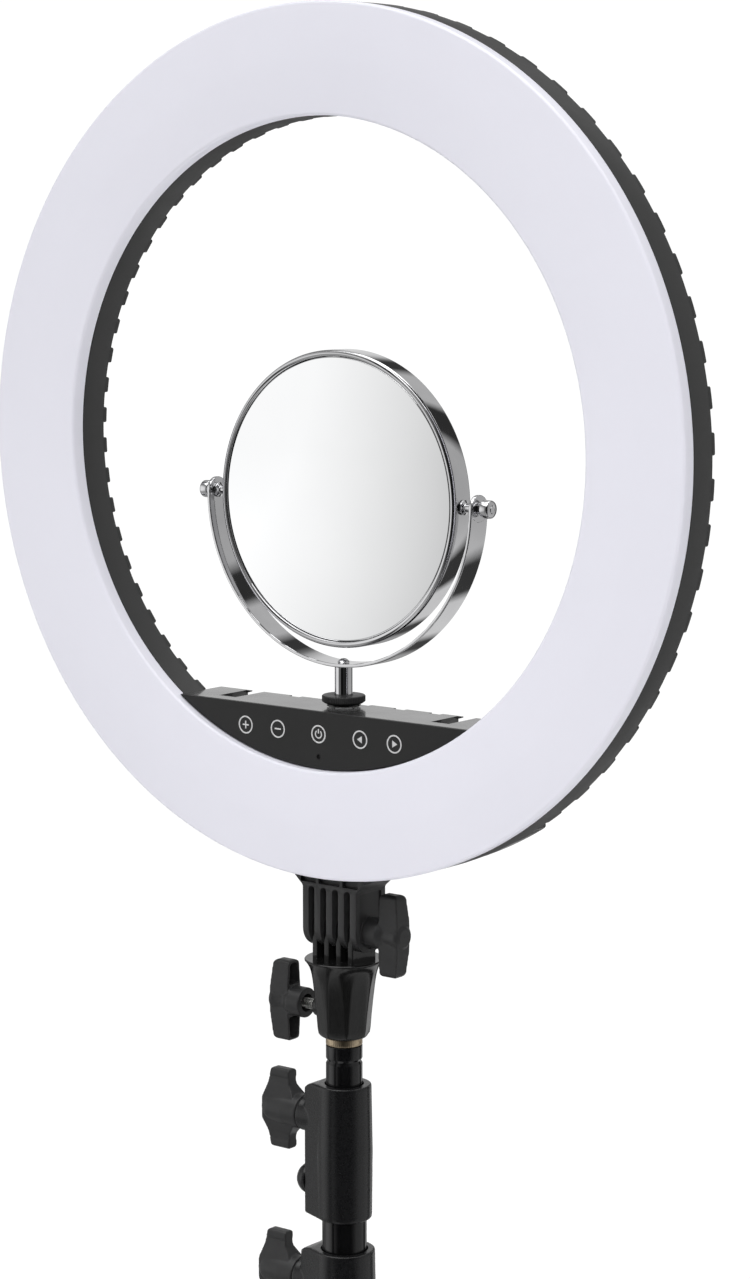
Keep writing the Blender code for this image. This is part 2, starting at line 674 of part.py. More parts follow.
def fluted_socket_mesh(name):
    """Socket body with eight hollow panels that fade into its rim, lofted from ring to ring."""
    levels = [(SOCKET_BOTTOM_Z, 0.0118, 0), (-0.3325, 0.0148, 0.0008), (-0.3200, 0.0158, 0.0011)]
    levels += [(-0.3050, 0.0174, 0.0012), (-0.2955, 0.0190, 0.0007), (SOCKET_TOP_Z, 0.0224, 0)]
    flutes, per_flute = 8, 4
    steps = flutes * per_flute
    mesh = bpy.data.meshes.new(name)
    bm = bmesh.new()
    rings = []
    for height, radius, depth in levels:
        ring = []
        for step in range(steps):
            angle = 2 * math.pi * step / steps
            r = radius - depth * (1 - math.cos(flutes * angle)) / 2
            ring.append(bm.verts.new((r * math.cos(angle), r * math.sin(angle), height)))
        rings.append(ring)
    for lower, upper in zip(rings, rings[1:]):
        for step in range(steps):
            after = (step + 1) % steps
            bm.faces.new((lower[step], lower[after], upper[after], upper[step]))
    bm.faces.new(list(reversed(rings[0])))
    bm.faces.new(rings[-1])
    bm.to_mesh(mesh)
    bm.free()
    return mesh


def make_stand_socket(axis):
    """Glossy socket over the spigot, with the lower comb of the tilt hinge on top."""
    place = on_ring(0, AXIS_BEHIND_FACE, 0)
    obj = add_object("stand_socket", fluted_socket_mesh("stand_socket"), place)
    foot = SOCKET_TOP_Z - 0.002
    comb = arc(LOWER_COMB_R, 0, math.pi, 6, (0, TILT_Z)) + [(-LOWER_COMB_R, foot), (LOWER_COMB_R, foot)]
    sideways = (math.radians(90), 0, math.radians(90))
    teeth = []
    for index in range(4):
        where = on_ring((index - 1.5) * TOOTH_PITCH, AXIS_BEHIND_FACE, 0)
        teeth.append(plate("Lower_tooth_" + str(index + 1), [comb], LOWER_TOOTH, where, sideways))
    beside = on_ring(-0.030, AXIS_BEHIND_FACE, TILT_Z)
    cross = cylinder("Lower_comb_bore", SCREW_R + GAP, 0.060, beside, TO_PLUS_X, 12)
    well = cylinder("Socket_bore", 0.0083, 0.040, on_ring(0, AXIS_BEHIND_FACE, -0.3365))
    side = on_ring(-0.0110, AXIS_BEHIND_FACE, SOCKET_SCREW_Z)
    boss = cylinder("Socket_boss", 0.0060, 0.0080, side, TO_MINUS_X)
    inside = on_ring(-0.002, AXIS_BEHIND_FACE, SOCKET_SCREW_Z)
    tapped = cylinder("Socket_screw_hole", SCREW_R + GAP, 0.030, inside, TO_MINUS_X, 12)
    follow(axis, *teeth, cross, well, boss, tapped)
    join(obj, *teeth, boss)
    cut(obj, cross, well, tapped)
    finish_part(obj, axis, GLOSS_BLACK, 30)


# ---- the sliding column ----

def make_spigot(axis):
    """Brass adapter: a knurled flange on the top tube and a grooved stud inside the socket."""
    flange_top, flange_low = SOCKET_BOTTOM_Z - GAP, SPIGOT_FLANGE_Z
    stud, groove, top = 0.0080, SPIGOT_GROOVE_R, -0.3020
    profile = [(0, top), (stud - 0.001, top), (stud, top - 0.001), (stud, SOCKET_SCREW_Z + 0.0060)]
    profile += [(groove, SOCKET_SCREW_Z + 0.0045), (groove, SOCKET_SCREW_Z - 0.0045)]
    profile += [(stud, SOCKET_SCREW_Z - 0.0060), (stud, flange_top), (SPIGOT_FLANGE_R, flange_top)]
    profile += [(SPIGOT_FLANGE_R, flange_low), (0, flange_low)]
    obj = turned("spigot", profile, on_ring(0, AXIS_BEHIND_FACE, 0), closed=False)
    finish_part(obj, axis, BRASS)


def make_top_tube(axis):
    """Thin top tube, crimped round the spigot's foot."""
    top = RING_Z + SPIGOT_FLANGE_Z - GAP
    crimp = top - 0.0090
    outer, wall, bottom = TOP_TUBE_R, TUBE_WALL, 0.170
    profile = [(outer, top), (outer, crimp + 0.0016), (outer - 0.0009, crimp), (outer, crimp - 0.0016)]
    profile += [(outer, bottom), (outer - wall, bottom), (outer - wall, crimp - 0.0016)]
    profile += [(outer - wall - 0.0009, crimp), (outer - wall, crimp + 0.0016), (outer - wall, top)]
    finish_part(turned("top_tube", profile, on_stand(0)), axis, GLOSS_BLACK)


def make_bushing(name, outer_r, inner_r, bottom, axis):
    """Plastic guide sleeve at the foot of a sliding tube."""
    finish_part(tube(name, outer_r, inner_r, bottom, bottom + 0.025), axis, BLACK_PLASTIC)


def collar_block(name, body_r, block_x, bottom, top_z):
    """Block that narrows from the barrel to its outer end, where its top slopes down."""
    inner_x, inner_half, outer_half = 0.34 * body_r, 0.92 * body_r, 0.0085
    along = (block_x - body_r) / (block_x - inner_x)
    middle_half = outer_half + along * (inner_half - outer_half)
    sections = [(block_x, outer_half, top_z - 0.0040), (body_r, middle_half, top_z - 0.0008)]
    sections.append((inner_x, inner_half, top_z - 0.0008))
    verts, faces = [], [(3, 2, 1, 0), (8, 9, 10, 11)]
    for x, half, high in sections:
        verts += [(-x, -half, bottom), (-x, half, bottom), (-x, half, high), (-x, -half, high)]
    for base in (0, 4):
        for k in range(4):
            after = (k + 1) % 4
            faces.append((base + k, base + after, base + 4 + after, base + 4 + k))
    mesh = bpy.data.meshes.new(name)
    mesh.from_pydata(verts, [], faces)
    obj = add_object(name, mesh, on_stand(0))
    modifier = obj.modifiers.new("Rounded_edges", "BEVEL")
    modifier.width = 0.0012
    modifier.segments = 1
    modifier.limit_method = "ANGLE"
    return obj


def make_collar(name, top_z, body_r, block_x, small_bore, large_bore, axis):
    """Die-cast clamp on the top end of a tube, with a block for the screw and the rivet."""
    bottom = top_z - COLLAR_HEIGHT
    edge = 0.0035
    profile = [(0, top_z), (body_r - 0.0010, top_z), (body_r - 0.0005, top_z - 0.001)]
    profile += [(body_r + 0.0004, (top_z + bottom) / 2), (body_r, bottom + edge)]
    profile += fillet(body_r - edge, bottom + edge, edge, -30, -90, 1) + [(0, bottom)]
    obj = turned(name, profile, on_stand(0), steps=COLLAR_STEPS, closed=False)
    label = name.title()
    block = collar_block(label + "_block", body_r, block_x, bottom + 0.0003, top_z)
    screw_z = top_z - COLLAR_KNOB_DROP
    boss = cylinder(label + "_boss", 0.0103, block_x - 0.002, on_stand(screw_z, -0.008), TO_MINUS_X)
    above, below, ledge = top_z + 0.010, bottom - 0.010, top_z - 0.0105
    stepped = [(0, above), (small_bore, above), (small_bore, ledge), (large_bore, ledge)]
    stepped += [(large_bore, below), (0, below)]
    off_facets = (0, 0, math.radians(6))
    bore = turned(label + "_bore", stepped, on_stand(0), off_facets, COLLAR_STEPS, closed=False)
    screw_start = on_stand(screw_z, -0.004)
    screw_hole = cylinder(label + "_screw_hole", SCREW_R + GAP, 0.040, screw_start, TO_MINUS_X)
    rivet_start = on_stand(top_z - COLLAR_RIVET_DROP, -0.006)
    rivet_hole = cylinder(label + "_rivet_hole", 0.0023, 0.030, rivet_start, TO_MINUS_X, 12)
    follow(axis, block, boss, bore, screw_hole, rivet_hole)
    join(obj, block, boss)
    cut(obj, bore, screw_hole, rivet_hole)
    finish_part(obj, axis, BLACK_PAINT, 40)


def make_rivet(name, top_z, block_x, tube_r, axis):
    """Round-headed rivet that fixes a collar to its tube."""
    shank_end = tube_r + GAP
    seat = block_x + GAP
    profile = [(0, seat + RIVET_R)] + fillet(0, seat, RIVET_R, 90, 0, 4)[1:]
    profile += [(0.0020, seat), (0.0020, shank_end), (0, shank_end)]
    obj = turned(name, profile, on_stand(top_z - COLLAR_RIVET_DROP), TO_MINUS_X, 16, closed=False)
    finish_part(obj, axis, BLACK_PAINT)


def make_clamped_tube(name, outer_r, bottom, top, window_z, axis):
    """Tube with a window behind its collar's screw, where the screw reaches the inner tube."""
    obj = tube(name, outer_r, outer_r - TUBE_WALL, bottom, top)
    start = on_stand(window_z, -0.005)
    window = cylinder(name.title() + "_window", SCREW_R + 0.0006, 0.020, start, TO_MINUS_X, 12)
    follow(axis, window)
    cut(obj, window)
    finish_part(obj, axis, GLOSS_BLACK)


# ---- the folding legs ----

def radial(azimuth, r, z, sideways=0.0):
    """World point at radius r and height z in a leg's upright plane."""
    out = Vector((math.cos(azimuth), math.sin(azimuth), 0))
    side = Vector((-math.sin(azimuth), math.cos(azimuth), 0))
    return on_stand(z) + out * r + side * sideways


def eye_outline(inner_r, pivot_r, reach):
    """Side outline of an eye that grows out of a collar and is rounded about its pivot."""
    tip = arc(reach, -math.pi / 2, math.pi / 2, EAR_STEPS, (pivot_r, 0))
    return [(inner_r, -reach)] + tip + [(inner_r, reach)]


def ear_pair(label, azimuth):
    """Two upright plates on the leg collar, one each side of a leg's tongue."""
    thick, offset = 0.0030, 0.0079
    outline = eye_outline(0.0165, LEG_PIVOT_R, 0.0070)
    ears = []
    for side in (-1, 1):
        name = label + "_ear_" + ("a" if side < 0 else "b")
        centre = radial(azimuth, 0, LEG_PIVOT_Z, side * offset)
        ears.append(plate(name, [outline], thick, centre, (math.radians(90), 0, azimuth)))
    return ears


def pivot_rod(name, azimuth, pivot_r, pivot_z, radius, half_length):
    """Rod across a leg's plane at a pivot, used as a cutter or as a pin."""
    start = radial(azimuth, pivot_r, pivot_z, half_length)
    return cylinder(name, radius, 2 * half_length, start, (math.radians(90), 0, azimuth), 12)


def make_leg_collar(axis):
    """Sliding collar with three pairs of ears for the legs, and a block for its lock screw."""
    low, high = LEG_PIVOT_Z - 0.012, LEG_PIVOT_Z + LEG_SCREW_RISE + 0.013
    body_r, edge = 0.0205, 0.002
    profile = [(body_r - edge, high), (body_r, high - edge), (body_r, low + edge), (body_r - edge, low)]
    profile += [(OUTER_TUBE_R + GAP, low), (OUTER_TUBE_R + GAP, high)]
    obj = turned("leg_collar", profile, on_stand(0), steps=COLLAR_STEPS)
    screw_z = LEG_PIVOT_Z + LEG_SCREW_RISE
    boss = cylinder("Leg_collar_boss", 0.0095, 0.0100, on_stand(screw_z, -0.0175), TO_MINUS_X, COLLAR_STEPS)
    screw_start = on_stand(screw_z, -0.010)
    tapped = cylinder("Leg_collar_screw_hole", SCREW_R + GAP, 0.030, screw_start, TO_MINUS_X)
    follow(axis, boss, tapped)
    join(obj, boss)
    for number, azimuth in enumerate(LEG_AZIMUTHS, 1):
        ears = ear_pair("Leg_collar_%d" % number, azimuth)
        name = "Leg_collar_hole_%d" % number
        hole = pivot_rod(name, azimuth, LEG_PIVOT_R, LEG_PIVOT_Z, PIVOT_HOLE_R, 0.020)
        follow(axis, *ears, hole)
        join(obj, *ears)
        cut(obj, hole)
    cut(obj, tapped)
    finish_part(obj, axis, BLACK_PLASTIC, 40)


def make_base_collar(axis):
    """Fixed collar at the foot of the column, with an eye for each brace."""
    low, high = BRACE_PIVOT_Z - 0.018, BRACE_PIVOT_Z + 0.014
    body_r, bore, edge = 0.0200, OUTER_TUBE_R + GAP, 0.002
    profile = [(0, low + edge), (bore, low + edge), (bore, high), (body_r - edge, high)]
    profile += [(body_r, high - edge), (body_r, low + edge), (body_r - edge, low), (0, low)]
    obj = turned("base_collar", profile, on_stand(0), steps=COLLAR_STEPS, closed=False)
    outline = eye_outline(0.0160, BRACE_PIVOT_R, 0.0065)
    for number, azimuth in enumerate(LEG_AZIMUTHS, 1):
        upright = (math.radians(90), 0, azimuth)
        name = "Base_collar_eye_%d" % number
        eye = plate(name, [outline], 0.0160, on_stand(BRACE_PIVOT_Z), upright)
        name = "Base_collar_hole_%d" % number
        hole = pivot_rod(name, azimuth, BRACE_PIVOT_R, BRACE_PIVOT_Z, PIVOT_HOLE_R, 0.020)
        follow(axis, eye, hole)
        join(obj, eye)
        cut(obj, hole)
    finish_part(obj, axis, BLACK_PLASTIC, 40)


def leaning(pivot, azimuth, angle):
    """Placement at a pivot, turned to a leg's azimuth and then leaned in the leg's plane."""
    return Matrix.Translation(pivot) @ Matrix.Rotation(azimuth, 4, "Z") @ Matrix.Rotation(angle, 4, "Y")


def make_leg(number, azimuth, axis):
    """Round leg tube with a flat tongue at its hinge and a barrel for the brace's rivet."""
    pivot = radial(azimuth, LEG_PIVOT_R, LEG_PIVOT_Z)
    turn = (0, -LEG_ANGLE, azimuth)
    placed = leaning(pivot, azimuth, -LEG_ANGLE)
    outer, inner = LEG_TUBE_R, LEG_TUBE_R - LEG_TUBE_WALL
    top, bottom = -0.018, -(LEG_LENGTH - 0.006)
    plug = top - 0.004
    profile = [(0, top), (outer, top), (outer, bottom), (inner, bottom), (inner, plug), (0, plug)]
    obj = turned("leg_%d" % number, profile, pivot, turn, 12, closed=False)
    tongue = plate("Leg_%d_tongue" % number, [tongue_outline()], 0.0120, pivot)
    tongue.matrix_world = placed @ Matrix.Rotation(math.radians(90), 4, "X")
    half_barrel = LEG_TUBE_R + 0.0006
    barrel_start = placed @ Vector((0, half_barrel, -LEG_TO_BRACE))
    across = (math.radians(90), 0, azimuth)
    barrel = cylinder("Leg_%d_barrel" % number, 0.0040, 2 * half_barrel, barrel_start, across, 12)
    name = "Leg_%d_hole" % number
    hole = pivot_rod(name, azimuth, LEG_PIVOT_R, LEG_PIVOT_Z, PIVOT_HOLE_R, 0.010)
    follow(axis, tongue, barrel, hole)
    join(obj, tongue, barrel)
    cut(obj, hole)
    finish_part(obj, axis, BLACK_PAINT, 40)


def tongue_outline():
    """Side outline of a leg's hinge end, rounded about the pivot."""
    reach = 0.0060
    return arc(reach, 0, math.pi, EAR_STEPS) + [(-reach, -0.0190), (reach, -0.0190)]


def make_leg_pin(number, azimuth, axis):
    """Rivet through a pair of ears and a leg's tongue."""
    name = "leg_pin_%d" % number
    obj = pivot_rod(name, azimuth, LEG_PIVOT_R, LEG_PIVOT_Z, PIVOT_PIN_R, 0.0100)
    finish_part(obj, axis, ZINC)


def make_foot(number, azimuth, axis):
    """Rubber cap on a leg's end: a sleeve with a ball end, cut flat where it stands."""
    pivot = radial(azimuth, LEG_PIVOT_R, LEG_PIVOT_Z)
    end = -LEG_LENGTH
    sleeve_top = end + 0.030
    bore = LEG_TUBE_R + GAP
    seat = end + 0.0056
    profile = [(0, seat), (bore, seat), (bore, sleeve_top), (FOOT_R - 0.0012, sleeve_top)]
    profile += [(FOOT_R, sleeve_top - 0.002)] + fillet(0, end, FOOT_R, 0, -90, 4)[:-1]
    profile += [(0, end - FOOT_R)]
    obj = turned("foot_%d" % number, profile, pivot, (0, -LEG_ANGLE, azimuth), 16, closed=False)
    centre = radial(azimuth, LEG_REACH, 0)
    low, high = centre - Vector((0.03, 0.03, 0.02)), centre + Vector((0.03, 0.03, 0))
    ground = box("Foot_%d_ground" % number, low, high)
    follow(axis, ground)
    cut(obj, ground)
    finish_part(obj, axis, RUBBER, 40)


def brace_angle():
    """Angle of an open brace from vertical."""
    joint_r = LEG_PIVOT_R + LEG_TO_BRACE * math.sin(LEG_ANGLE)
    joint_z = LEG_PIVOT_Z - LEG_TO_BRACE * math.cos(LEG_ANGLE)
    return math.atan2(joint_r - BRACE_PIVOT_R, joint_z - BRACE_PIVOT_Z)


def brace_length():
    joint_r = LEG_PIVOT_R + LEG_TO_BRACE * math.sin(LEG_ANGLE)
    joint_z = LEG_PIVOT_Z - LEG_TO_BRACE * math.cos(LEG_ANGLE)
    return math.hypot(joint_r - BRACE_PIVOT_R, joint_z - BRACE_PIVOT_Z)


def make_brace(number, azimuth, axis):
    """Pair of flat straps, one each side of the leg, on a pin through the base collar."""
    pivot = radial(azimuth, BRACE_PIVOT_R, BRACE_PIVOT_Z)
    placed = leaning(pivot, azimuth, brace_angle())
    half_width, thick, offset = 0.0060, 0.0018, 0.0102
    length = brace_length()
    outline = arc(half_width, 0, math.pi, EAR_STEPS, (0, length))
    outline += arc(half_width, math.pi, 2 * math.pi, EAR_STEPS)
    straps = []
    for side in (-1, 1):
        name = "brace_%d" % number if side < 0 else "Brace_%d_second_strap" % number
        strap = plate(name, [outline], thick, pivot)
        beside = placed @ Matrix.Translation((0, side * offset, 0))
        strap.matrix_world = beside @ Matrix.Rotation(math.radians(90), 4, "X")
        straps.append(strap)
    name = "Brace_%d_pin" % number
    pin = pivot_rod(name, azimuth, BRACE_PIVOT_R, BRACE_PIVOT_Z, PIVOT_PIN_R, offset + 0.0030)
    follow(axis, straps[1], pin)
    join(straps[0], straps[1], pin)
    finish_part(straps[0], axis, BLACK_PAINT, 40)


# ---- assembly ----

def build_head(tilt):
    """Everything that tilts with the ring, except the mirror."""
    make_diffuser(tilt)
    make_ring_tray(tilt)
    make_led_board(tilt)
    make_rear_cover(tilt)
    make_control_box(tilt)
    make_touch_panel(tilt)
    make_boards(tilt)
    make_power_inlet(tilt)
    make_tilt_bracket(tilt)
    make_tilt_nut(tilt)
    make_mirror_seat(tilt)


def build_mirror(tilt):
    pivot = on_ring(0, AXIS_BEHIND_FACE, MIRROR_Z)
    nut = add_axis("mirror_nut_axis", pivot, tilt)
    swivel = add_axis("mirror_swivel_axis", pivot, tilt)
    hoop = add_axis("mirror_tilt_axis", pivot, swivel)
    make_mirror_nut(nut)
    make_mirror_post(swivel)
    make_mirror_yoke(swivel)
    make_yoke_screw(swivel)
    make_mirror_frame(hoop)
    make_mirror_glasses(hoop)
    make_mirror_pivots(hoop)


def build_lock(name, face, tip_x, kind, parent):
    """A wing knob with its screw, on an empty along the screw."""
    axis = add_axis(name + "_axis", face, parent)
    direction = -1 if tip_x > face.x else 1
    make_lock_knob(name + "_knob", face, direction, kind, axis)
    make_lock_screw(name + "_screw", face, tip_x, axis)


def build_column(column):
    """Fixed outer tube with its clamp, the middle section and the top section."""
    upper_screw = UPPER_COLLAR_TOP - COLLAR_KNOB_DROP
    lower_screw = LOWER_COLLAR_TOP - COLLAR_KNOB_DROP
    outer_foot, outer_top = COLUMN_FOOT_Z + 0.006, LOWER_COLLAR_TOP - 0.011
    make_clamped_tube("outer_tube", OUTER_TUBE_R, outer_foot, outer_top, lower_screw, column)
    bores = (MIDDLE_TUBE_R + GAP, OUTER_TUBE_R + GAP)
    make_collar("lower_collar", LOWER_COLLAR_TOP, 0.0178, 0.0255, *bores, column)
    make_rivet("lower_rivet", LOWER_COLLAR_TOP, 0.0255, OUTER_TUBE_R, column)
    make_base_collar(column)
    build_lock("lower_lock", on_stand(lower_screw, -0.0318), -(MIDDLE_TUBE_R + GAP), "wing", column)
    middle = add_axis("middle_section_axis", on_stand(UPPER_COLLAR_TOP), column)
    make_clamped_tube("middle_tube", MIDDLE_TUBE_R, 0.130, UPPER_COLLAR_TOP - 0.011, upper_screw, middle)
    make_bushing("middle_bushing", OUTER_TUBE_R - TUBE_WALL - SLIDE_GAP, MIDDLE_TUBE_R + GAP, 0.132, middle)
    bores = (TOP_TUBE_R + GAP, MIDDLE_TUBE_R + GAP)
    make_collar("upper_collar", UPPER_COLLAR_TOP, 0.0158, 0.0225, *bores, middle)
    make_rivet("upper_rivet", UPPER_COLLAR_TOP, 0.0225, MIDDLE_TUBE_R, middle)
    build_lock("upper_lock", on_stand(upper_screw, -0.0288), -(TOP_TUBE_R + GAP), "wing", middle)
    top = add_axis("top_section_axis", on_stand(RING_Z + SPIGOT_FLANGE_Z), middle)
    make_top_tube(top)
    make_bushing("top_bushing", MIDDLE_TUBE_R - TUBE_WALL - SLIDE_GAP, TOP_TUBE_R + GAP, 0.172, top)
    make_spigot(top)
    return top


def build_legs(column):
    """Sliding collar, three legs and three braces, open."""
    slider = add_axis("leg_slide_axis", on_stand(LEG_PIVOT_Z), column)
    make_leg_collar(slider)
    face = on_stand(LEG_PIVOT_Z + LEG_SCREW_RISE, -0.0278)
    build_lock("leg_lock", face, -(OUTER_TUBE_R + GAP), "wing", slider)
    for number, azimuth in enumerate(LEG_AZIMUTHS, 1):
        pivot = radial(azimuth, LEG_PIVOT_R, LEG_PIVOT_Z)
        hinge = add_axis("leg_%d_axis" % number, pivot, slider)
        make_leg(number, azimuth, hinge)
        make_foot(number, azimuth, hinge)
        make_leg_pin(number, azimuth, slider)
        foot_pivot = radial(azimuth, BRACE_PIVOT_R, BRACE_PIVOT_Z)
        base = add_axis("brace_%d_axis" % number, foot_pivot, column)
        make_brace(number, azimuth, base)


def main():
    global parts, helpers
    clear_scene()
    parts = make_collection("Ring_light")
    helpers = make_collection("Cutters_and_axes")
    column = add_axis("column_axis", on_stand(0))
    top = build_column(column)
    build_legs(column)
    swivel = add_axis("head_swivel_axis", on_ring(0, AXIS_BEHIND_FACE, SOCKET_BOTTOM_Z), top)
    make_stand_socket(swivel)
    face = on_ring(-0.0270, AXIS_BEHIND_FACE, SOCKET_SCREW_Z)
    build_lock("socket_lock", face, -(SPIGOT_GROOVE_R + GAP), "bar", swivel)
    tilt = add_axis("head_tilt_axis", on_ring(0, AXIS_BEHIND_FACE, TILT_Z), swivel)
    build_head(tilt)
    face = on_ring(COMB_HALF_X + GAP, AXIS_BEHIND_FACE, TILT_Z)
    build_lock("tilt_lock", face, -0.0248, "bar", tilt)
    build_mirror(tilt)
    bpy.context.view_layer.update()


main()
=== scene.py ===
"""Looks of a ring light with a mirror on a folding stand: pieces, materials, studio and camera.

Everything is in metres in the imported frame, where the light faces -Y. Ring points are measured
from the ring's centre, with y = 0 on the face of the diffuser.
"""

import json
from math import asin, atan2, cos, degrees, pi, radians, sin, sqrt, tan

import bmesh
import bpy
from mathutils import Matrix, Vector


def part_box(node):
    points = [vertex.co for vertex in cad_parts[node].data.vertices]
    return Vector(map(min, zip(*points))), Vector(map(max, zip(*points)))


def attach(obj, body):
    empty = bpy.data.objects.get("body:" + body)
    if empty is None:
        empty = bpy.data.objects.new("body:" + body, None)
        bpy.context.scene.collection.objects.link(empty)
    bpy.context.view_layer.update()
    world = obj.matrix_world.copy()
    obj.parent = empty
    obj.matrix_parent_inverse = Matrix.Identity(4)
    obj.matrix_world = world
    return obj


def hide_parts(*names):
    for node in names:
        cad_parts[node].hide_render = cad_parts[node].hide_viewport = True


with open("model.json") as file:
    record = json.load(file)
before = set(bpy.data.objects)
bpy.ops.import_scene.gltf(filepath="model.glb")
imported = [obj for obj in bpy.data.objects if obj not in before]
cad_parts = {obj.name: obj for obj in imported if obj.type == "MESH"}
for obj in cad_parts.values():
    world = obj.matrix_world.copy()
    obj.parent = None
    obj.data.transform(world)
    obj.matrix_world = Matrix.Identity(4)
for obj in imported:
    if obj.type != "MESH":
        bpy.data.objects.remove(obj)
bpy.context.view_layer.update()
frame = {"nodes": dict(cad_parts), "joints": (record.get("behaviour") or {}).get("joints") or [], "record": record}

# ---- places and sizes that come from the frame ----
NODES = frame["nodes"]
JOINTS = {joint["name"]: joint for joint in frame["joints"]}
PADS = [Vector(mount["pos_m"]) for mount in frame["record"]["mounts"]]
LENS_LOW, LENS_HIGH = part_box("diffuser")
RING_R = (LENS_HIGH.x - LENS_LOW.x) / 2
RING = Vector((0, LENS_LOW.y, (LENS_LOW.z + LENS_HIGH.z) / 2))
STAND_Y = JOINTS["head_tilt"]["pos_m"][1]
TILT_Z = JOINTS["head_tilt"]["pos_m"][2]
MIRROR = Vector(JOINTS["mirror_tilt"]["pos_m"])
LEG_PIVOTS = [Vector(JOINTS["leg_%d_hinge" % n]["pos_m"]) for n in (1, 2, 3)]
BRACE_PIVOTS = [Vector(JOINTS["brace_%d_hinge" % n]["pos_m"]) for n in (1, 2, 3)]

# ---- sizes of the ring head ----
HOLE_R = 0.1793
LENS_DEPTH = 0.0092
LENS_EDGE = 0.0018
BAND_BACK = 0.0265
COVER_BACK = 0.0293
TEETH = 64
TOOTH_DEPTH = 0.0034
TOOTH_CORNER = 0.0010
SHELF = -0.146
PANEL_FRONT = 0.0050
PANEL_BACK = 0.0067
BOX_FRONT = 0.0070
BOX_BACK = 0.0415
BOX_R = 0.1787
BULGE_R = 0.2394
BULGE_HALF = 33             # half the angle that the bulge covers behind the ring, in degrees
SNAP_FAR = 0.0817
SNAP_WIDE = 0.0120
SNAP_FRONT = 0.0160
SNAP_FLOOR = SHELF - 0.0055
HOOK = 0.0032               # how far a snap slot's hook reaches over its back end
NICK_PITCH = 0.0250         # between the small nicks in the shelf's rear edge
NICK_SHIFT = 0.0050         # of the middle nick from the shelf's middle
NICK_HALF = 0.0038
NICK_FLOOR = SHELF - 0.0022
OVER_SHELF = SHELF + 0.002  # where the cutters for the shelf end
INLET = (0.0750, BOX_BACK, -0.2050)
SENSOR_Z = -0.172
SIGN_Z = -0.1592
SIGN_PLACES = {"plus": -0.0528, "minus": -0.0293, "power": 0.0, "left": 0.0293, "right": 0.0530}
YOKE_OUTER = 0.0935
YOKE_INNER = 0.0915
YOKE_HALF = 0.0075

# ---- sizes of the stand ----
TUBE_RADII = {"top_tube": 0.0104, "middle_tube": 0.01275, "outer_tube": 0.0150}
SCREW_R = 0.0030
SCREW_HOLE_R = 0.0033
TOOTH_PITCH = 0.0085
SOCKET_FOOT = -0.3355
SOCKET_SCREW = -0.3205
KNOB_SPAN = 0.0470
LEG_TO_BRACE = 0.2500
LEG_TUBE_R = 0.0080
FOOT_R = 0.0113
SKIN = 0.00025              # how far a visual surface stands inside the one it meets

CAMERA_FROM_RING = Vector((1.1121, -1.3641, 0.1394))
CAMERA_TURN = radians(38.07)
CAMERA_DIP = radians(7.93)
CAMERA_LENS = 90.87
KEY_PLACE = Vector((2.6, -2.6, 2.7))
KEY_SIZE = 2.2
KEY_POWER = 74
FLOOR_R = 2.6


# ---- placing ----

def ring_point(x, y, z):
    return RING + Vector((x, y, z))


def columns(u, v, w, origin):
    """Placement that sends local x, y and z along u, v and w from origin."""
    return Matrix((
        (u[0], v[0], w[0], origin[0]),
        (u[1], v[1], w[1], origin[1]),
        (u[2], v[2], w[2], origin[2]),
        (0, 0, 0, 1)))


def facing(origin):
    """Outlines in X and Z; depth runs back along +Y."""
    return columns((1, 0, 0), (0, 0, 1), (0, 1, 0), origin)


def sideways(origin):
    """Outlines in Y and Z; depth runs along +X."""
    return columns((0, 1, 0), (0, 0, 1), (1, 0, 0), origin)


def along(direction, origin):
    """A turned shape's axis along direction, from origin."""
    turn = Vector(direction).to_track_quat("Z", "Y").to_matrix().to_4x4()
    return Matrix.Translation(origin) @ turn


def on_axis(height):
    """The point of the column's axis at a height."""
    return Vector((0, STAND_Y, height))


UPRIGHT = Matrix.Translation(on_axis(0))
RING_BACK = facing(RING)
RING_FRONT = along((0, -1, 0), RING)
TILT = on_axis(TILT_Z)


# ---- outlines ----

def arc(radius, start, end, steps, centre=(0, 0)):
    """Points along an arc, angles in degrees, both ends included."""
    points = []
    for step in range(steps + 1):
        angle = radians(start + (end - start) * step / steps)
        points.append((centre[0] + radius * cos(angle), centre[1] + radius * sin(angle)))
    return points


def rounded(corners, closed=True, steps=4):
    """Replaces each (x, y, radius) corner by an arc; a zero radius keeps it sharp."""
    points = []
    count = len(corners)
    for index, (x, y, radius) in enumerate(corners):
        ends = not closed and index in (0, count - 1)
        corner = Vector((x, y))
        before = Vector(corners[index - 1][:2]) - corner
        after = Vector(corners[(index + 1) % count][:2]) - corner
        if radius == 0 or ends or before.length < 1e-7 or after.length < 1e-7:
            points.append((x, y))
            continue
        half = before.angle(after) / 2
        if half > pi / 2 - 0.01:
            points.append((x, y))
            continue
        reach = min(radius / tan(half), 0.49 * before.length, 0.49 * after.length)
        bisector = (before.normalized() + after.normalized()).normalized()
        middle = corner + bisector * reach / cos(half)
        first = corner + before.normalized() * reach - middle
        last = corner + after.normalized() * reach - middle
        bend = first.length
        start = atan2(first.y, first.x)
        turn = atan2(last.y, last.x) - start
        turn = (turn + pi) % (2 * pi) - pi
        for step in range(steps + 1):
            angle = start + turn * step / steps
            points.append((middle.x + bend * cos(angle), middle.y + bend * sin(angle)))
    return points


def both_ends(corners):
    """Corners followed by their mirror image across the first axis."""
    return corners + [(x, -y, radius) for x, y, radius in reversed(corners)]


# ---- meshes ----

def add_object(name, data):
    obj = bpy.data.objects.new(name, data)
    bpy.context.scene.collection.objects.link(obj)
    return obj


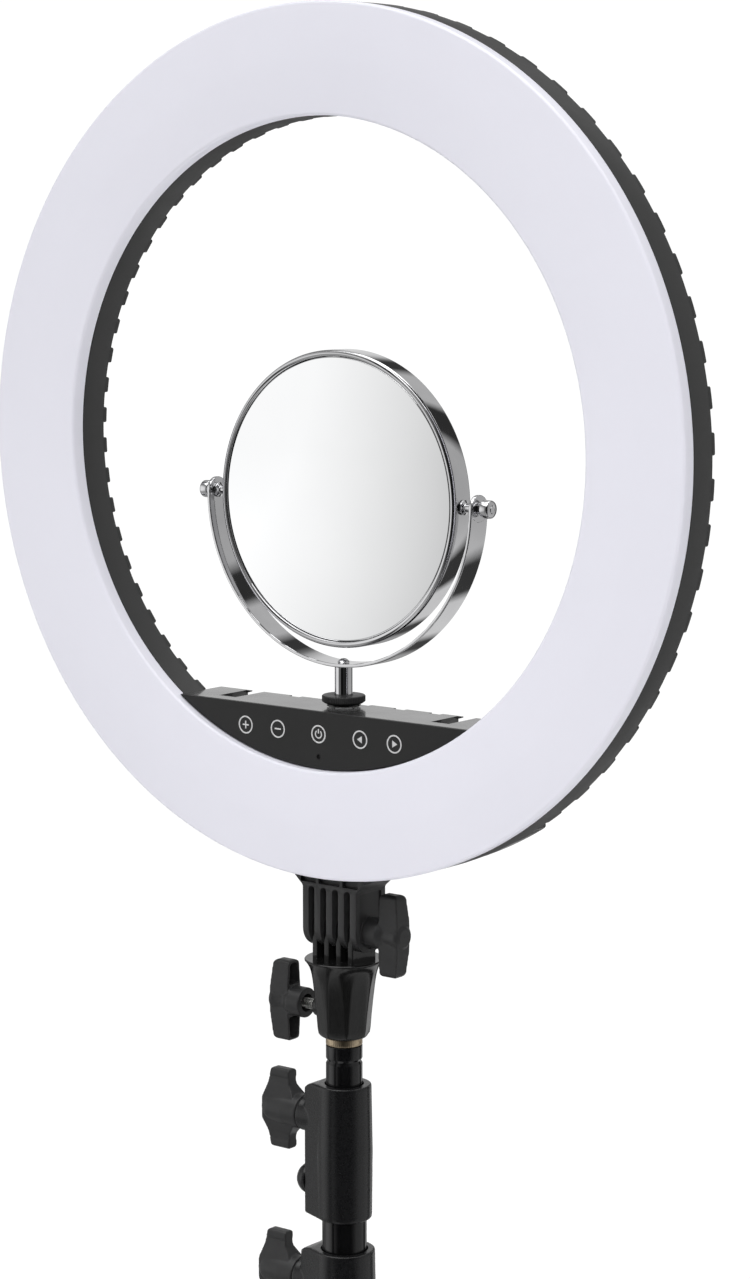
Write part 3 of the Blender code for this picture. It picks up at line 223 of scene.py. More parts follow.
def mesh_object(name, verts, faces):
    mesh = bpy.data.meshes.new(name)
    mesh.from_pydata([tuple(v) for v in verts], [], faces)
    bm = bmesh.new()
    bm.from_mesh(mesh)
    bmesh.ops.remove_doubles(bm, verts=bm.verts, dist=0.000001)
    bmesh.ops.recalc_face_normals(bm, faces=bm.faces)
    bm.to_mesh(mesh)
    bm.free()
    return add_object(name, mesh)


def lathe(name, profile, place, steps=96, closed=False, shape=None):
    """Turns (radius, height) points about local Z; shape may change the radius at each angle."""
    verts, rows = [], []
    for radius, height in profile:
        if radius < 1e-7:
            rows.append([len(verts)] * steps)
            verts.append(place @ Vector((0, 0, height)))
            continue
        rows.append(list(range(len(verts), len(verts) + steps)))
        for step in range(steps):
            angle = 2 * pi * step / steps
            r = shape(angle, radius, height) if shape else radius
            verts.append(place @ Vector((r * cos(angle), r * sin(angle), height)))
    pairs = list(zip(rows, rows[1:]))
    if closed:
        pairs.append((rows[-1], rows[0]))
    faces = []
    for one, two in pairs:
        for step in range(steps):
            after = (step + 1) % steps
            face = list(dict.fromkeys((one[step], one[after], two[after], two[step])))
            if len(face) > 2:
                faces.append(face)
    return mesh_object(name, verts, faces)


def turned(name, corners, place, steps=96, closed=False, curve=4, shape=None):
    """Turns (radius, height, corner radius) points, with curve steps in each rounded corner."""
    return lathe(name, rounded(corners, closed, curve), place, steps, closed, shape)


def cylinder(name, radius, top, bottom, place, steps=32):
    return lathe(name, [(0, top), (radius, top), (radius, bottom), (0, bottom)], place, steps)


def prism(name, outline, low, high, place):
    """Extrudes an outline from depth low to depth high."""
    count = len(outline)
    verts = [place @ Vector((x, y, low)) for x, y in outline]
    verts += [place @ Vector((x, y, high)) for x, y in outline]
    faces = [list(range(count)), list(range(count, 2 * count))]
    faces += [[k, (k + 1) % count, count + (k + 1) % count, count + k] for k in range(count)]
    return mesh_object(name, verts, faces)


def loft(name, rings):
    """Skins rings of the same number of points and closes both ends."""
    count = len(rings[0])
    verts = [point for ring in rings for point in ring]
    faces = [list(range(count)), list(range(len(verts) - count, len(verts)))]
    for level in range(len(rings) - 1):
        base = level * count
        for k in range(count):
            after = (k + 1) % count
            faces.append([base + k, base + after, base + count + after, base + count + k])
    return mesh_object(name, verts, faces)


def settle(obj):
    """Applies obj's modifiers to its mesh."""
    bpy.context.view_layer.update()
    graph = bpy.context.evaluated_depsgraph_get()
    mesh = bpy.data.meshes.new_from_object(obj.evaluated_get(graph))
    obj.modifiers.clear()
    obj.data = mesh
    return obj


def combine(obj, tools, operation):
    for tool in tools:
        modifier = obj.modifiers.new("Combine", "BOOLEAN")
        modifier.operation = operation
        modifier.solver = "EXACT"
        modifier.object = tool
    settle(obj)
    for tool in tools:
        bpy.data.objects.remove(tool, do_unlink=True)
    return obj


def carve(obj, *tools):
    return combine(obj, tools, "DIFFERENCE")


def unite(obj, *tools):
    return combine(obj, tools, "UNION")


def soften(obj, width, steps=3, angle=30):
    """Rounds the edges sharper than angle."""
    modifier = obj.modifiers.new("Rounded_edges", "BEVEL")
    modifier.width = width
    modifier.segments = steps
    modifier.limit_method = "ANGLE"
    modifier.angle_limit = radians(angle)
    modifier.use_clamp_overlap = True
    return settle(obj)


def gather(name, pieces):
    """One object from several, keeping each as its own shell."""
    bm = bmesh.new()
    for piece in pieces:
        bm.from_mesh(piece.data)
        bpy.data.objects.remove(piece, do_unlink=True)
    mesh = bpy.data.meshes.new(name)
    bm.to_mesh(mesh)
    bm.free()
    return add_object(name, mesh)


def moulded(name, pieces, voxel, rounds=5):
    """Fuses overlapping pieces into one skin whose inside corners are filleted, as cast parts are."""
    obj = gather(name, pieces)
    remesh = obj.modifiers.new("Fuse", "REMESH")
    remesh.mode = "VOXEL"
    remesh.voxel_size = voxel
    smooth = obj.modifiers.new("Fillets", "SMOOTH")
    smooth.factor = 0.5
    smooth.iterations = rounds
    return settle(obj)


def finish(obj, body, look, slot, *nodes, angle=40, even=True):
    """Gives obj one of the LOOKS and smooth shading, and hangs it on its body."""
    obj.data.materials.clear()
    obj.data.materials.append(LOOKS[look])
    obj.data.shade_smooth()
    obj.data.set_sharp_from_angle(angle=radians(angle))
    if even:
        weighted = obj.modifiers.new("Even_shading", "WEIGHTED_NORMAL")
        weighted.keep_sharp = True
        settle(obj)
    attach(obj, body)
    if nodes:
        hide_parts(*nodes)
    return obj


# ---- materials ----

def add_node(tree, kind, inputs):
    """A node whose inputs are given, by name or place, as values or as sockets."""
    node = tree.nodes.new("ShaderNode" + kind)
    for key, value in inputs.items():
        if isinstance(value, bpy.types.NodeSocket):
            tree.links.new(value, node.inputs[key])
        else:
            node.inputs[key].default_value = value
    return node


def noise_node(tree, coords, scale, detail=3.0):
    return add_node(tree, "TexNoise", {"Scale": scale, "Detail": detail, "Vector": coords}).outputs["Fac"]


def range_node(tree, value, low, high, new_low, new_high):
    limits = {"From Min": low, "From Max": high, "To Min": new_low, "To Max": new_high}
    return add_node(tree, "MapRange", {**limits, "Value": value}).outputs["Result"]


def mix_node(tree, factor, first, second):
    """Mixes two colours."""
    node = add_node(tree, "Mix", {"Factor": factor, 6: first, 7: second})
    node.data_type = "RGBA"
    return node.outputs[2]


def surface(name, color, other, rough, metallic=0.0, patch=40.0, grain=2200.0, depth=0.00002,
            stretch=(1, 1, 1), edge_highlight=None, coat=0.0, specular=0.5):
    """Two tones that drift over the surface, roughness that drifts with them, a fine grain in
    the relief and, where a colour is given for the edges, paler outside corners: a painted highlight."""
    material = bpy.data.materials.new(name)
    material.use_nodes = True
    tree = material.node_tree
    shader = tree.nodes["Principled BSDF"]
    where = tree.nodes.new("ShaderNodeTexCoord").outputs["Object"]
    coords = add_node(tree, "Mapping", {"Scale": stretch, "Vector": where}).outputs["Vector"]
    drift = noise_node(tree, coords, patch)
    tone = mix_node(tree, range_node(tree, drift, 0.35, 0.65, 0.0, 1.0), (*color, 1), (*other, 1))
    # Painted highlight: outside corners, found by pointiness, are mixed towards a paler colour as if they caught
    # the light.
    if edge_highlight:
        geometry = tree.nodes.new("ShaderNodeNewGeometry")
        corner = range_node(tree, geometry.outputs["Pointiness"], 0.53, 0.60, 0.0, 0.55)
        tone = mix_node(tree, corner, tone, (*edge_highlight, 1))
    bump = add_node(tree, "Bump", {"Distance": depth, "Height": noise_node(tree, coords, grain, 2.0)})
    tree.links.new(tone, shader.inputs["Base Color"])
    tree.links.new(range_node(tree, drift, 0.3, 0.7, *rough), shader.inputs["Roughness"])
    tree.links.new(bump.outputs["Normal"], shader.inputs["Normal"])
    shader.inputs["Metallic"].default_value = metallic
    shader.inputs["Coat Weight"].default_value = coat
    shader.inputs["Coat Roughness"].default_value = 0.06
    shader.inputs["Specular IOR Level"].default_value = specular
    return material


def grey(level, blue=0.0):
    return (level, level, level + blue)


# The plastic, shelf, knob and cast looks get a painted highlight: paler outside edges.
LOOKS = {
    "lens": surface("Satin_white_lens", (0.780, 0.776, 0.850), (0.764, 0.760, 0.834), (0.34, 0.42),
                    patch=7.0, grain=1500.0, depth=0.000006),
    "plastic": surface("Textured_black_plastic", grey(0.030), grey(0.034), (0.40, 0.52),
                       patch=70.0, grain=2400.0, depth=0.00003, edge_highlight=grey(0.055), specular=0.35),
    "shelf": surface("Satin_black_plastic", grey(0.020), grey(0.026), (0.14, 0.22),
                     patch=45.0, grain=1800.0, depth=0.000006, edge_highlight=grey(0.07), coat=0.4),
    "panel": surface("Touch_film", grey(0.012), grey(0.015), (0.36, 0.44),
                     patch=30.0, grain=2600.0, depth=0.000012, specular=0.3),
    "symbol": surface("Printed_symbols", grey(0.60), grey(0.52, 0.01), (0.45, 0.55),
                      patch=400.0, grain=3000.0, depth=0.000006),
    "gloss": surface("Gloss_black_plastic", grey(0.006), grey(0.008), (0.10, 0.18),
                     patch=90.0, grain=350.0, depth=0.00006, specular=0.4),
    "knob": surface("Knob_plastic", grey(0.021, 0.0005), grey(0.026, 0.0005), (0.34, 0.46),
                    patch=120.0, grain=2000.0, depth=0.00004, edge_highlight=grey(0.05), specular=0.35),
    "enamel": surface("Gloss_black_enamel", grey(0.003, 0.0003), grey(0.005, 0.0004), (0.06, 0.13),
                      patch=60.0, grain=900.0, depth=0.000008, stretch=(1, 1, 0.05), coat=0.15,
                      specular=0.4),
    "cast": surface("Painted_casting", grey(0.0060, 0.0006), grey(0.0074, 0.0006), (0.24, 0.32),
                    patch=420.0, grain=1300.0, depth=0.00003, edge_highlight=grey(0.045), coat=0.15,
                    specular=0.35),
    "chrome": surface("Chrome", grey(0.64, 0.01), grey(0.68, 0.01), (0.035, 0.075), 1.0,
                      patch=90.0, grain=500.0, depth=0.000004),
    "glass": surface("Silvered_glass", (0.90, 0.905, 0.91), (0.92, 0.925, 0.93), (0.010, 0.030), 1.0,
                     patch=14.0, grain=60.0, depth=0.0000015),
    "zinc": surface("Bright_zinc", grey(0.74, -0.03), grey(0.62, -0.02), (0.22, 0.36), 1.0,
                    patch=700.0, grain=3000.0, depth=0.00002),
    "brass": surface("Dull_brass", (0.60, 0.49, 0.34), (0.50, 0.41, 0.29), (0.30, 0.46), 1.0,
                     patch=500.0, grain=2600.0, depth=0.00003),
    "rubber": surface("Black_rubber", grey(0.018), grey(0.027), (0.72, 0.88),
                      patch=90.0, grain=1600.0, depth=0.00005),
    "white_board": surface("White_circuit", (0.78, 0.79, 0.77), (0.70, 0.72, 0.69), (0.35, 0.50),
                           patch=260.0, grain=900.0, depth=0.00004),
    "green_board": surface("Green_circuit", (0.02, 0.15, 0.06), (0.03, 0.22, 0.09), (0.35, 0.50),
                           patch=320.0, grain=900.0, depth=0.00004),
}


# ---- the ring ----

def make_lens():
    """White channel with rounded front edges and a faintly crowned face."""
    middle = (RING_R + HOLE_R) / 2
    corners = [(HOLE_R, -LENS_DEPTH, 0.0004), (HOLE_R, -0.0006, LENS_EDGE), (middle, 0, 0.04)]
    corners += [(RING_R, -0.0006, LENS_EDGE), (RING_R, -LENS_DEPTH, 0.0004)]
    obj = turned("Lens", corners, RING_FRONT, 256, closed=True, curve=7)
    finish(obj, "head", "lens", "white_diffuser", "diffuser", angle=50, even=False)


def make_band():
    """Black channel behind the lens; a fine bead marks where the lens snaps in."""
    bead, lens, front, back = 0.0005, -LENS_DEPTH - 0.0001, -LENS_DEPTH - 0.0004, -BAND_BACK - SKIN
    corners = [(RING_R - bead, lens, 0), (RING_R - bead, front, 0)]
    corners += [(RING_R, front, 0.0003), (RING_R, back, 0), (HOLE_R, back, 0), (HOLE_R, front, 0.0003)]
    corners += [(HOLE_R + bead, front, 0), (HOLE_R + bead, lens, 0)]
    obj = turned("Ring_band", corners, RING_FRONT, 256, closed=True, curve=3)
    finish(obj, "head", "plastic", "black_plastic", "ring_tray", even=False)


def toothed_circle(radius, tooth_radius, steps=3):
    """Closed outline that steps between two radii, with the outer corners of each tooth rounded."""
    outline = []
    pitch = 360 / TEETH
    for tooth in range(TEETH):
        start, end = (tooth + 0.25) * pitch, (tooth + 0.75) * pitch
        corners = []
        for r, angle, corner in ((radius, start, 0), (tooth_radius, start, TOOTH_CORNER),
                                 (tooth_radius, (start + end) / 2, 0), (tooth_radius, end, TOOTH_CORNER),
                                 (radius, end, 0)):
            turn = radians(angle)
            corners.append((r * cos(turn), r * sin(turn), corner))
        outline += rounded(corners, closed=False, steps=steps)
        outline += arc(radius, end, end + pitch / 2, 4)[1:-1]
    return outline


def make_cover():
    """Rear ring with vent teeth along both edges and two shallow grooves round its back."""
    outer = toothed_circle(RING_R - TOOTH_DEPTH, RING_R)
    inner = toothed_circle(HOLE_R + TOOTH_DEPTH, HOLE_R)
    obj = prism("Rear_cover", outer, BAND_BACK - SKIN, COVER_BACK, RING_BACK)
    hole = prism("Hole", inner, BAND_BACK - 0.01, COVER_BACK + 0.01, RING_BACK)
    carve(obj, hole)
    for radius in (HOLE_R + 0.012, RING_R - 0.012):
        inner, outer = radius - 0.0006, radius + 0.0006
        groove = [(inner, 0.001), (outer, 0.001), (outer, -0.0005), (inner, -0.0005)]
        place = along((0, 1, 0), ring_point(0, COVER_BACK, 0))
        carve(obj, lathe("Groove", groove, place, 192, closed=True))
    soften(obj, 0.0003, 2, 50)
    finish(obj, "head", "plastic", "black_plastic", "rear_cover", angle=35)


def segment(radius, top, steps=96):
    """Circular segment below a level line, with its two tips blunted."""
    tip = degrees(asin(top / radius))
    return arc(radius, -180 - tip + 0.3, tip - 0.3, steps)


def make_box():
    """Control box: deep shelf in the hole, wider behind the ring, with two hooked snap slots."""
    obj = prism("Control_box", segment(BOX_R, SHELF), BOX_FRONT, BOX_BACK - 0.0002, RING_BACK)
    start, end = -90 - BULGE_HALF, -90 + BULGE_HALF
    wide = arc(BULGE_R, start, end, 64) + arc(HOLE_R - 0.004, end - 1, start + 1, 48)
    bulge = prism("Bulge", wide, COVER_BACK + 0.0002, BOX_BACK, RING_BACK)
    soften(bulge, 0.0022, 4, 40)
    unite(obj, bulge)
    slots = []
    for low in (-SNAP_FAR, SNAP_FAR - SNAP_WIDE):
        high = low + SNAP_WIDE
        outline = [(low, SNAP_FLOOR), (high, SNAP_FLOOR), (high, OVER_SHELF), (low, OVER_SHELF)]
        slots.append(prism("Snap_slot", outline, SNAP_FRONT, BOX_BACK - 0.0016, RING_BACK))
        tip, past = low + HOOK, low - 0.0001
        outline = [(tip, SNAP_FLOOR), (high, SNAP_FLOOR), (high, OVER_SHELF), (tip, OVER_SHELF)]
        outline += [(tip, SHELF - 0.0012), (past, SHELF - 0.0022), (past, SNAP_FLOOR)]
        slots.append(prism("Hook_gap", outline, BOX_BACK - 0.0030, BOX_BACK + 0.002, RING_BACK))
    for index in range(5):
        middle = (index - 2) * NICK_PITCH + NICK_SHIFT
        low, high = middle - NICK_HALF, middle + NICK_HALF
        outline = [(low, NICK_FLOOR), (high, NICK_FLOOR), (high, OVER_SHELF), (low, OVER_SHELF)]
        slots.append(prism("Nick", outline, BOX_BACK - 0.0030, BOX_BACK + 0.002, RING_BACK))
    hole = cylinder("Inlet_hole", 0.0055, 0.002, -0.008, along((0, 1, 0), ring_point(*INLET)), 48)
    carve(obj, *slots, hole)
    soften(obj, 0.00035, 2, 45)
    finish(obj, "head", "shelf", "black_plastic", "control_box", angle=35)


def make_inlet():
    """Round power inlet with its centre pin."""
    corners = [(0, -0.0010, 0), (0.0010, -0.0010, 0.0005), (0.0010, -0.0075, 0), (0.0030, -0.0075, 0)]
    corners += [(0.0030, 0.0015, 0.0004), (0.0068, 0.0015, 0.0006), (0.0068, 0.0001, 0)]
    corners += [(0.0052, 0.0001, 0), (0.0052, -0.0095, 0), (0, -0.0095, 0)]
    obj = turned("Power_inlet", corners, along((0, 1, 0), ring_point(*INLET)), 64, curve=3)
    finish(obj, "head", "plastic", "black_plastic", "power_inlet")


def make_panel():
    """Flat touch panel with rounded edges and one small sensor hole."""
    obj = prism("Touch_panel", segment(BOX_R, SHELF), PANEL_FRONT, PANEL_BACK, RING_BACK)
    soften(obj, 0.0004, 3, 45)
    hole = lathe("Hole", [(0, 0.001), (0.0019, 0.001), (0.0011, -0.0012), (0, -0.0012)],
                 along((0, -1, 0), ring_point(0, PANEL_FRONT, SENSOR_Z)), 32)
    carve(obj, hole)
    finish(obj, "head", "panel", "touch_panel", "touch_panel", angle=35)


def annulus(name, outer, inner, low, high, place, start=0, end=360, steps=48):
    """Flat ring, or part of one, extruded from low to high."""
    if end - start < 360:
        outline = arc(outer, start, end, steps) + arc(inner, end, start, steps)
        return prism(name, outline, low, high, place)
    profile = [(outer, high), (outer, low), (inner, low), (inner, high)]
    turned = lathe(name, profile, Matrix.Identity(4), steps, closed=True)
    turned.data.transform(place)
    return turned


def make_symbols():
    """Five ringed signs printed on the panel: plus, minus, power, left and right."""
    low, high = -0.00005, 0.00010
    pieces = []
    for sign, x in SIGN_PLACES.items():
        place = columns((1, 0, 0), (0, 0, 1), (0, -1, 0), ring_point(x, PANEL_FRONT, SIGN_Z))
        pieces.append(annulus("Sign_ring", 0.0051, 0.0043, low, high, place))
        bar, stroke = 0.0022, 0.0004
        wide = [(-bar, -stroke), (bar, -stroke), (bar, stroke), (-bar, stroke)]
        tall = [(y, x) for x, y in wide]
        if sign in ("plus", "minus"):
            pieces.append(prism("Bar", wide, low, high, place))
        if sign == "plus":
            pieces.append(prism("Upright", tall, low, high + 0.00001, place))
        if sign == "power":
            pieces.append(annulus("Power_arc", 0.0025, 0.0018, low, high, place, 128, 412, 40))
            stroke = 0.00038
            stem = [(-stroke, 0.0004), (stroke, 0.0004), (stroke, 0.0029), (-stroke, 0.0029)]
            pieces.append(prism("Stem", stem, low, high, place))
        if sign in ("left", "right"):
            side = -1 if sign == "left" else 1
            arrow = [(side * 0.0021, 0), (side * -0.0013, 0.0020), (side * -0.0013, -0.0020)]
            pieces.append(prism("Arrow", arrow, low, high, place))
    obj = gather("Touch_symbols", pieces)
    finish(obj, "head", "symbol", "touch_panel", even=False)


# ---- the mirror ----

def make_mirror():
    """Chrome hoop with a rolled bezel on each face, and a glass in each bezel."""
    corners = []
    for side in (1, -1):
        face = [(0.0789, 0.0056, 0), (0.0793, 0.0075, 0.0004), (0.0806, 0.0079, 0.0007)]
        face += [(0.0818, 0.0074, 0.0006), (0.0825, 0.0062, 0.0008)]
        points = [(r, side * h, c) for r, h, c in face]
        corners += points if side == 1 else list(reversed(points))
    obj = turned("Mirror_hoop", corners, along((0, -1, 0), MIRROR), 192, closed=True)
    finish(obj, "mirror", "chrome", "chrome", "mirror_frame", angle=60, even=False)
    for name, side in (("mirror_glass_front", -1), ("mirror_glass_back", 1)):
        corners = [(0, 0.0066, 0), (0.0782, 0.0066, 0.0006), (0.0787, 0.0062, 0)]
        corners += [(0.0787, 0.0044, 0), (0, 0.0044, 0)]
        glass = turned(name.title(), corners, along((0, side, 0), MIRROR), 192, curve=3)
        finish(glass, "mirror", "glass", "mirror_glass", name, angle=30, even=False)


def make_pivots():
    """Spooled pins with round knobs outside the yoke."""
    inner, outer = 0.0912, 0.0940
    for name, side in (("pivot_pin_left", -1), ("pivot_pin_right", 1)):
        low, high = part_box(name)
        tip = max(-low.x, high.x)
        corners = [(0, tip, 0), (0.0016, tip, 0), (0.0018, tip - 0.0003, 0), (0.0024, tip, 0.0003)]
        corners += [(0.0050, tip - 0.0002, 0.0022), (0.0050, outer + 0.0022, 0.0012)]
        corners += [(0.0036, outer + 0.0018, 0.0004), (0.0036, outer, 0), (0.0020, outer, 0)]
        corners += [(0.0020, inner, 0), (0.0043, inner, 0.0004), (0.0043, inner - 0.0012, 0.0005)]
        corners += [(0.0024, inner - 0.0024, 0.0006), (0.0024, 0.0848, 0.0006), (0.0042, 0.0838, 0.0004)]
        corners += [(0.0042, 0.0828, 0), (0, 0.0828, 0)]
        obj = turned(name.title(), corners, along((side, 0, 0), MIRROR), 64)
        finish(obj, "mirror", "chrome", "chrome", name, angle=45, even=False)


def make_yoke():
    """Half-round band with rounded edges and round ears."""
    section = [(YOKE_OUTER, -YOKE_HALF, 0.0005), (YOKE_OUTER, YOKE_HALF, 0.0005)]
    section += [(YOKE_INNER, YOKE_HALF, 0.0005), (YOKE_INNER, -YOKE_HALF, 0.0005)]
    section = rounded(section, steps=2)
    rings = []
    for step in range(97):
        angle = radians(-180 + 180 * step / 96)
        u = Vector((cos(angle), 0, sin(angle)))
        rings.append([MIRROR + u * r + Vector((0, y, 0)) for r, y in section])
    obj = loft("Mirror_yoke", rings)
    ears = []
    for side in (-1, 1):
        start = MIRROR + Vector((side * (YOKE_INNER - 0.0002), 0, 0))
        ear = [(0, 0.0024, 0), (YOKE_HALF, 0.0024, 0.0005), (YOKE_HALF, 0, 0.0005), (0, 0, 0)]
        ears.append(turned("Ear", ear, along((side, 0, 0), start), 64, curve=2))
    unite(obj, *ears)
    finish(obj, "yoke", "chrome", "chrome", "mirror_yoke", angle=45)


def make_post():
    """Chrome post, the screw that holds the yoke to it, its knurled nut and its washer."""
    shelf, foot = RING.z + SHELF, MIRROR.z - YOKE_OUTER
    corners = [(0, foot, 0), (0.0050, foot, 0.0008), (0.0050, shelf + 0.0004, 0), (0, shelf + 0.0004, 0)]
    obj = turned("Mirror_post", corners, UPRIGHT)
    finish(obj, "yoke", "chrome", "chrome", "mirror_post", angle=35, even=False)
    seat = foot + 0.0022
    dome = [(0, seat + 0.0022)] + arc(0.0038, 80, 38, 5, (0, seat - 0.0016))
    screw = lathe("Yoke_screw", dome + [(0.0034, seat), (0, seat)], UPRIGHT, 48)
    finish(screw, "yoke", "chrome", "chrome", "yoke_screw", even=False)
    low, high = shelf + 0.0018, shelf + 0.0062
    corners = [(0.0053, high, 0), (0.0117, high, 0.0002), (0.0122, high - 0.0005, 0.0002)]
    corners += [(0.0122, low + 0.0010, 0.0002), (0.0108, low, 0.0003), (0.0053, low, 0)]

    def knurl(angle, radius, height):
        ridge = 0.0003 * (1 + cos(72 * angle)) / 2
        return radius - ridge if radius > 0.0119 else radius

    nut = turned("Mirror_nut", corners, UPRIGHT, 432, closed=True, curve=3, shape=knurl)
    finish(nut, "mirror_nut", "knob", "satin_black_metal", "mirror_nut", angle=28, even=False)
    low, high = shelf + 0.0003, shelf + 0.0015
    corners = [(0.0055, high, 0), (0.0092, high, 0.0004), (0.0095, low, 0), (0.0055, low, 0)]
    washer = turned("Mirror_washer", corners, UPRIGHT, closed=True)
    finish(washer, "head", "gloss", "gloss_plastic", "mirror_seat", even=False)


# ---- tilt bracket and socket ----

def make_bracket():
    """Comb under the ring: five teeth, round-topped slots, a thin curved lip and cored pockets."""
    origin = on_axis(RING.z)
    tilt = TILT_Z - RING.z
    side = [(0.0134, -0.2300), (-0.0134, -0.2300)]
    side += [(1.117 * y, tilt + z) for y, z in arc(0.0120, 180, 360, 32)]
    body = prism("Tilt_bracket", side, -0.0190, 0.0190, sideways(origin))
    flare = rounded([(-0.0250, -0.2300, 0), (-0.0250, -0.2428, 0.0008), (-0.0190, -0.2482, 0.0030),
                     (-0.0185, -0.2560, 0), (0.0185, -0.2560, 0), (0.0190, -0.2482, 0.0030),
                     (0.0250, -0.2428, 0.0008), (0.0250, -0.2300, 0)])
    unite(body, prism("Flare", flare, -0.0134, 0.0134, facing(origin)))
    ring_r = RING_R + 0.0003
    under_ring = prism("Ring_room", arc(ring_r, 0, 360, 256)[:-1], -0.05, COVER_BACK + 0.0003, RING_BACK)
    under_box = prism("Box_room", arc(BULGE_R + 0.0003, 0, 360, 256)[:-1], 0.02, 0.08, RING_BACK)
    carve(body, under_ring, under_box)
    tools = []
    for index in range(4):
        x = (index - 1.5) * TOOTH_PITCH
        half = 0.00215
        slot = [(x - half, -0.3000), (x + half, -0.3000)] + arc(half, 0, 180, 10, (x, -0.2502))
        tools.append(prism("Slot", slot, -0.03, 0.03, facing(origin)))
    for low, high in ((-0.0205, -0.0094), (-0.0076, 0.0076), (0.0094, 0.0205)):
        pocket = [(low, -0.2462, 0.0006), (high, -0.2462, 0.0006)]
        pocket += [(x, -sqrt((ring_r + 0.0020) ** 2 - x ** 2), 0.0006) for x in (high, low)]
        tools.append(prism("Pocket", rounded(pocket), -0.02, -0.0112, facing(origin)))
    for face in (-1, 1):
        recess = [(-0.0098, -0.2500), (0.0098, -0.2500)] + arc(0.0098, 0, -180, 24, (0, tilt))
        depth = (0.0180, 0.0200) if face > 0 else (-0.0200, -0.0180)
        tools.append(prism("Side_recess", recess, *depth, sideways(origin)))
    tools.append(cylinder("Bore", SCREW_HOLE_R, 0.03, -0.03, along((1, 0, 0), TILT)))
    carve(body, *tools)
    bosses = []
    for face in (-1, 1):
        ring = [(0.0082, 0.0189), (0.0086, 0.0176), (SCREW_HOLE_R, 0.0176), (SCREW_HOLE_R, 0.0189)]
        bosses.append(lathe("Boss", ring, along((face, 0, 0), TILT), 48, closed=True))
    soften(body, 0.0005, 3, 35)
    unite(body, *bosses)
    finish(body, "head", "knob", "black_plastic", "tilt_bracket", angle=35)
    start = Vector((-0.0193, STAND_Y, TILT_Z))
    nut = prism("Tilt_nut", arc(0.0055, 0, 300, 5), -0.0045, 0, sideways(start))
    carve(nut, cylinder("Thread", SCREW_R + 0.0001, 0.01, -0.01, along((1, 0, 0), start)))
    soften(nut, 0.0004, 2, 40)
    finish(nut, "head", "zinc", "zinc_steel", "tilt_nut")


def make_socket():
    """Glossy socket with a trumpet rim, eight arched hollow panels, a screw boss and the lower comb.

    Each level is (height, radius, how hollow the panels are, how much of a panel its ridges take).
    """
    foot = RING.z + SOCKET_FOOT
    panels, per_panel = 8, 24
    levels = [(0, 0.0118, 0, 0.06), (0.0006, 0.0134, 0.4, 0.06), (0.0020, 0.0146, 0.9, 0.06)]
    levels += [(0.0050, 0.0151, 1, 0.08), (0.0140, 0.0158, 1, 0.16), (0.0220, 0.0166, 1, 0.24)]
    levels += [(0.0290, 0.0174, 1, 0.32), (0.0330, 0.0179, 0.95, 0.42), (0.0360, 0.0184, 0.85, 0.55)]
    levels += [(0.0385, 0.0190, 0.65, 0.72), (0.0405, 0.0197, 0.35, 0.90), (0.0422, 0.0206, 0, 1)]
    levels += [(0.0437, 0.0217, 0, 1), (0.0444, 0.0223, 0, 1), (0.0450, 0.0224, 0, 1)]
    levels += [(0.0454, 0.0221, 0, 1), (0.0455, 0.0216, 0, 1)]
    half_turn = pi / panels
    rings = []
    for height, radius, depth, ridge in levels:
        half = half_turn * (1 - ridge)
        ring = []
        for step in range(panels * per_panel):
            angle = half_turn * 2 * step / per_panel
            off = abs(angle % (2 * half_turn) - half_turn)
            flat = radius * cos(half) / cos(off) if off < half else radius
            r = radius + (flat - radius) * depth
            ring.append(Vector((r * cos(angle), STAND_Y + r * sin(angle), foot + height)))
        rings.append(ring)
    body = loft("Stand_socket", rings)
    screw = along((-1, 0, 0), on_axis(RING.z + SOCKET_SCREW))
    boss = [(0, 0.0190, 0), (0.0060, 0.0190, 0.0008), (0.0068, 0.0080, 0), (0, 0.0080, 0)]
    unite(body, turned("Boss", boss, screw, 48))
    tilt = (0, TILT_Z - RING.z)
    outline = arc(0.0105, 0, 180, 24, tilt) + [(-0.0105, -0.2910), (0.0105, -0.2910)]
    teeth = []
    for index in range(4):
        x = (index - 1.5) * TOOTH_PITCH
        tooth = prism("Tooth", outline, x - 0.0018, x + 0.0018, sideways(on_axis(RING.z)))
        soften(tooth, 0.0005, 2, 60)
        teeth.append(tooth)
    unite(body, *teeth)
    bore = cylinder("Bore", SCREW_HOLE_R, 0.035, -0.035, along((1, 0, 0), TILT))
    well = cylinder("Well", 0.0083, 0.0395, -0.001, Matrix.Translation(on_axis(foot)), 48)
    tapped = cylinder("Tapped", 0.0032, 0.0250, 0.004, screw)
    carve(body, bore, well, tapped)
    finish(body, "socket", "gloss", "gloss_plastic", "stand_socket")


def make_spigot():
    """Brass adapter with a knurled flange."""
    low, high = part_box("spigot")
    flange_top, edge = low.z + 0.0042, 0.01045
    corners = [(0, high.z, 0), (0.0080, high.z, 0.0010), (0.0080, high.z - 0.0125, 0.0004)]
    corners += [(0.0068, high.z - 0.0140, 0.0004), (0.0068, high.z - 0.0230, 0.0004)]
    corners += [(0.0080, high.z - 0.0245, 0.0004), (0.0080, flange_top, 0), (edge, flange_top, 0.0004)]
    corners += [(edge, flange_top - 0.0014, 0), (edge, flange_top - 0.0028, 0), (edge, low.z, 0.0006)]
    corners += [(0, low.z, 0)]

    def knurl(angle, radius, height):
        twist = 52 * angle + (height - low.z) * 2400
        return radius - 0.00012 * (1 + cos(twist)) / 2 if radius > 0.0103 else radius

    obj = turned("Spigot", corners, UPRIGHT, 416, curve=3, shape=knurl)
    finish(obj, "top_section", "brass", "brass", "spigot", angle=50, even=False)


# ---- knobs and their screws ----

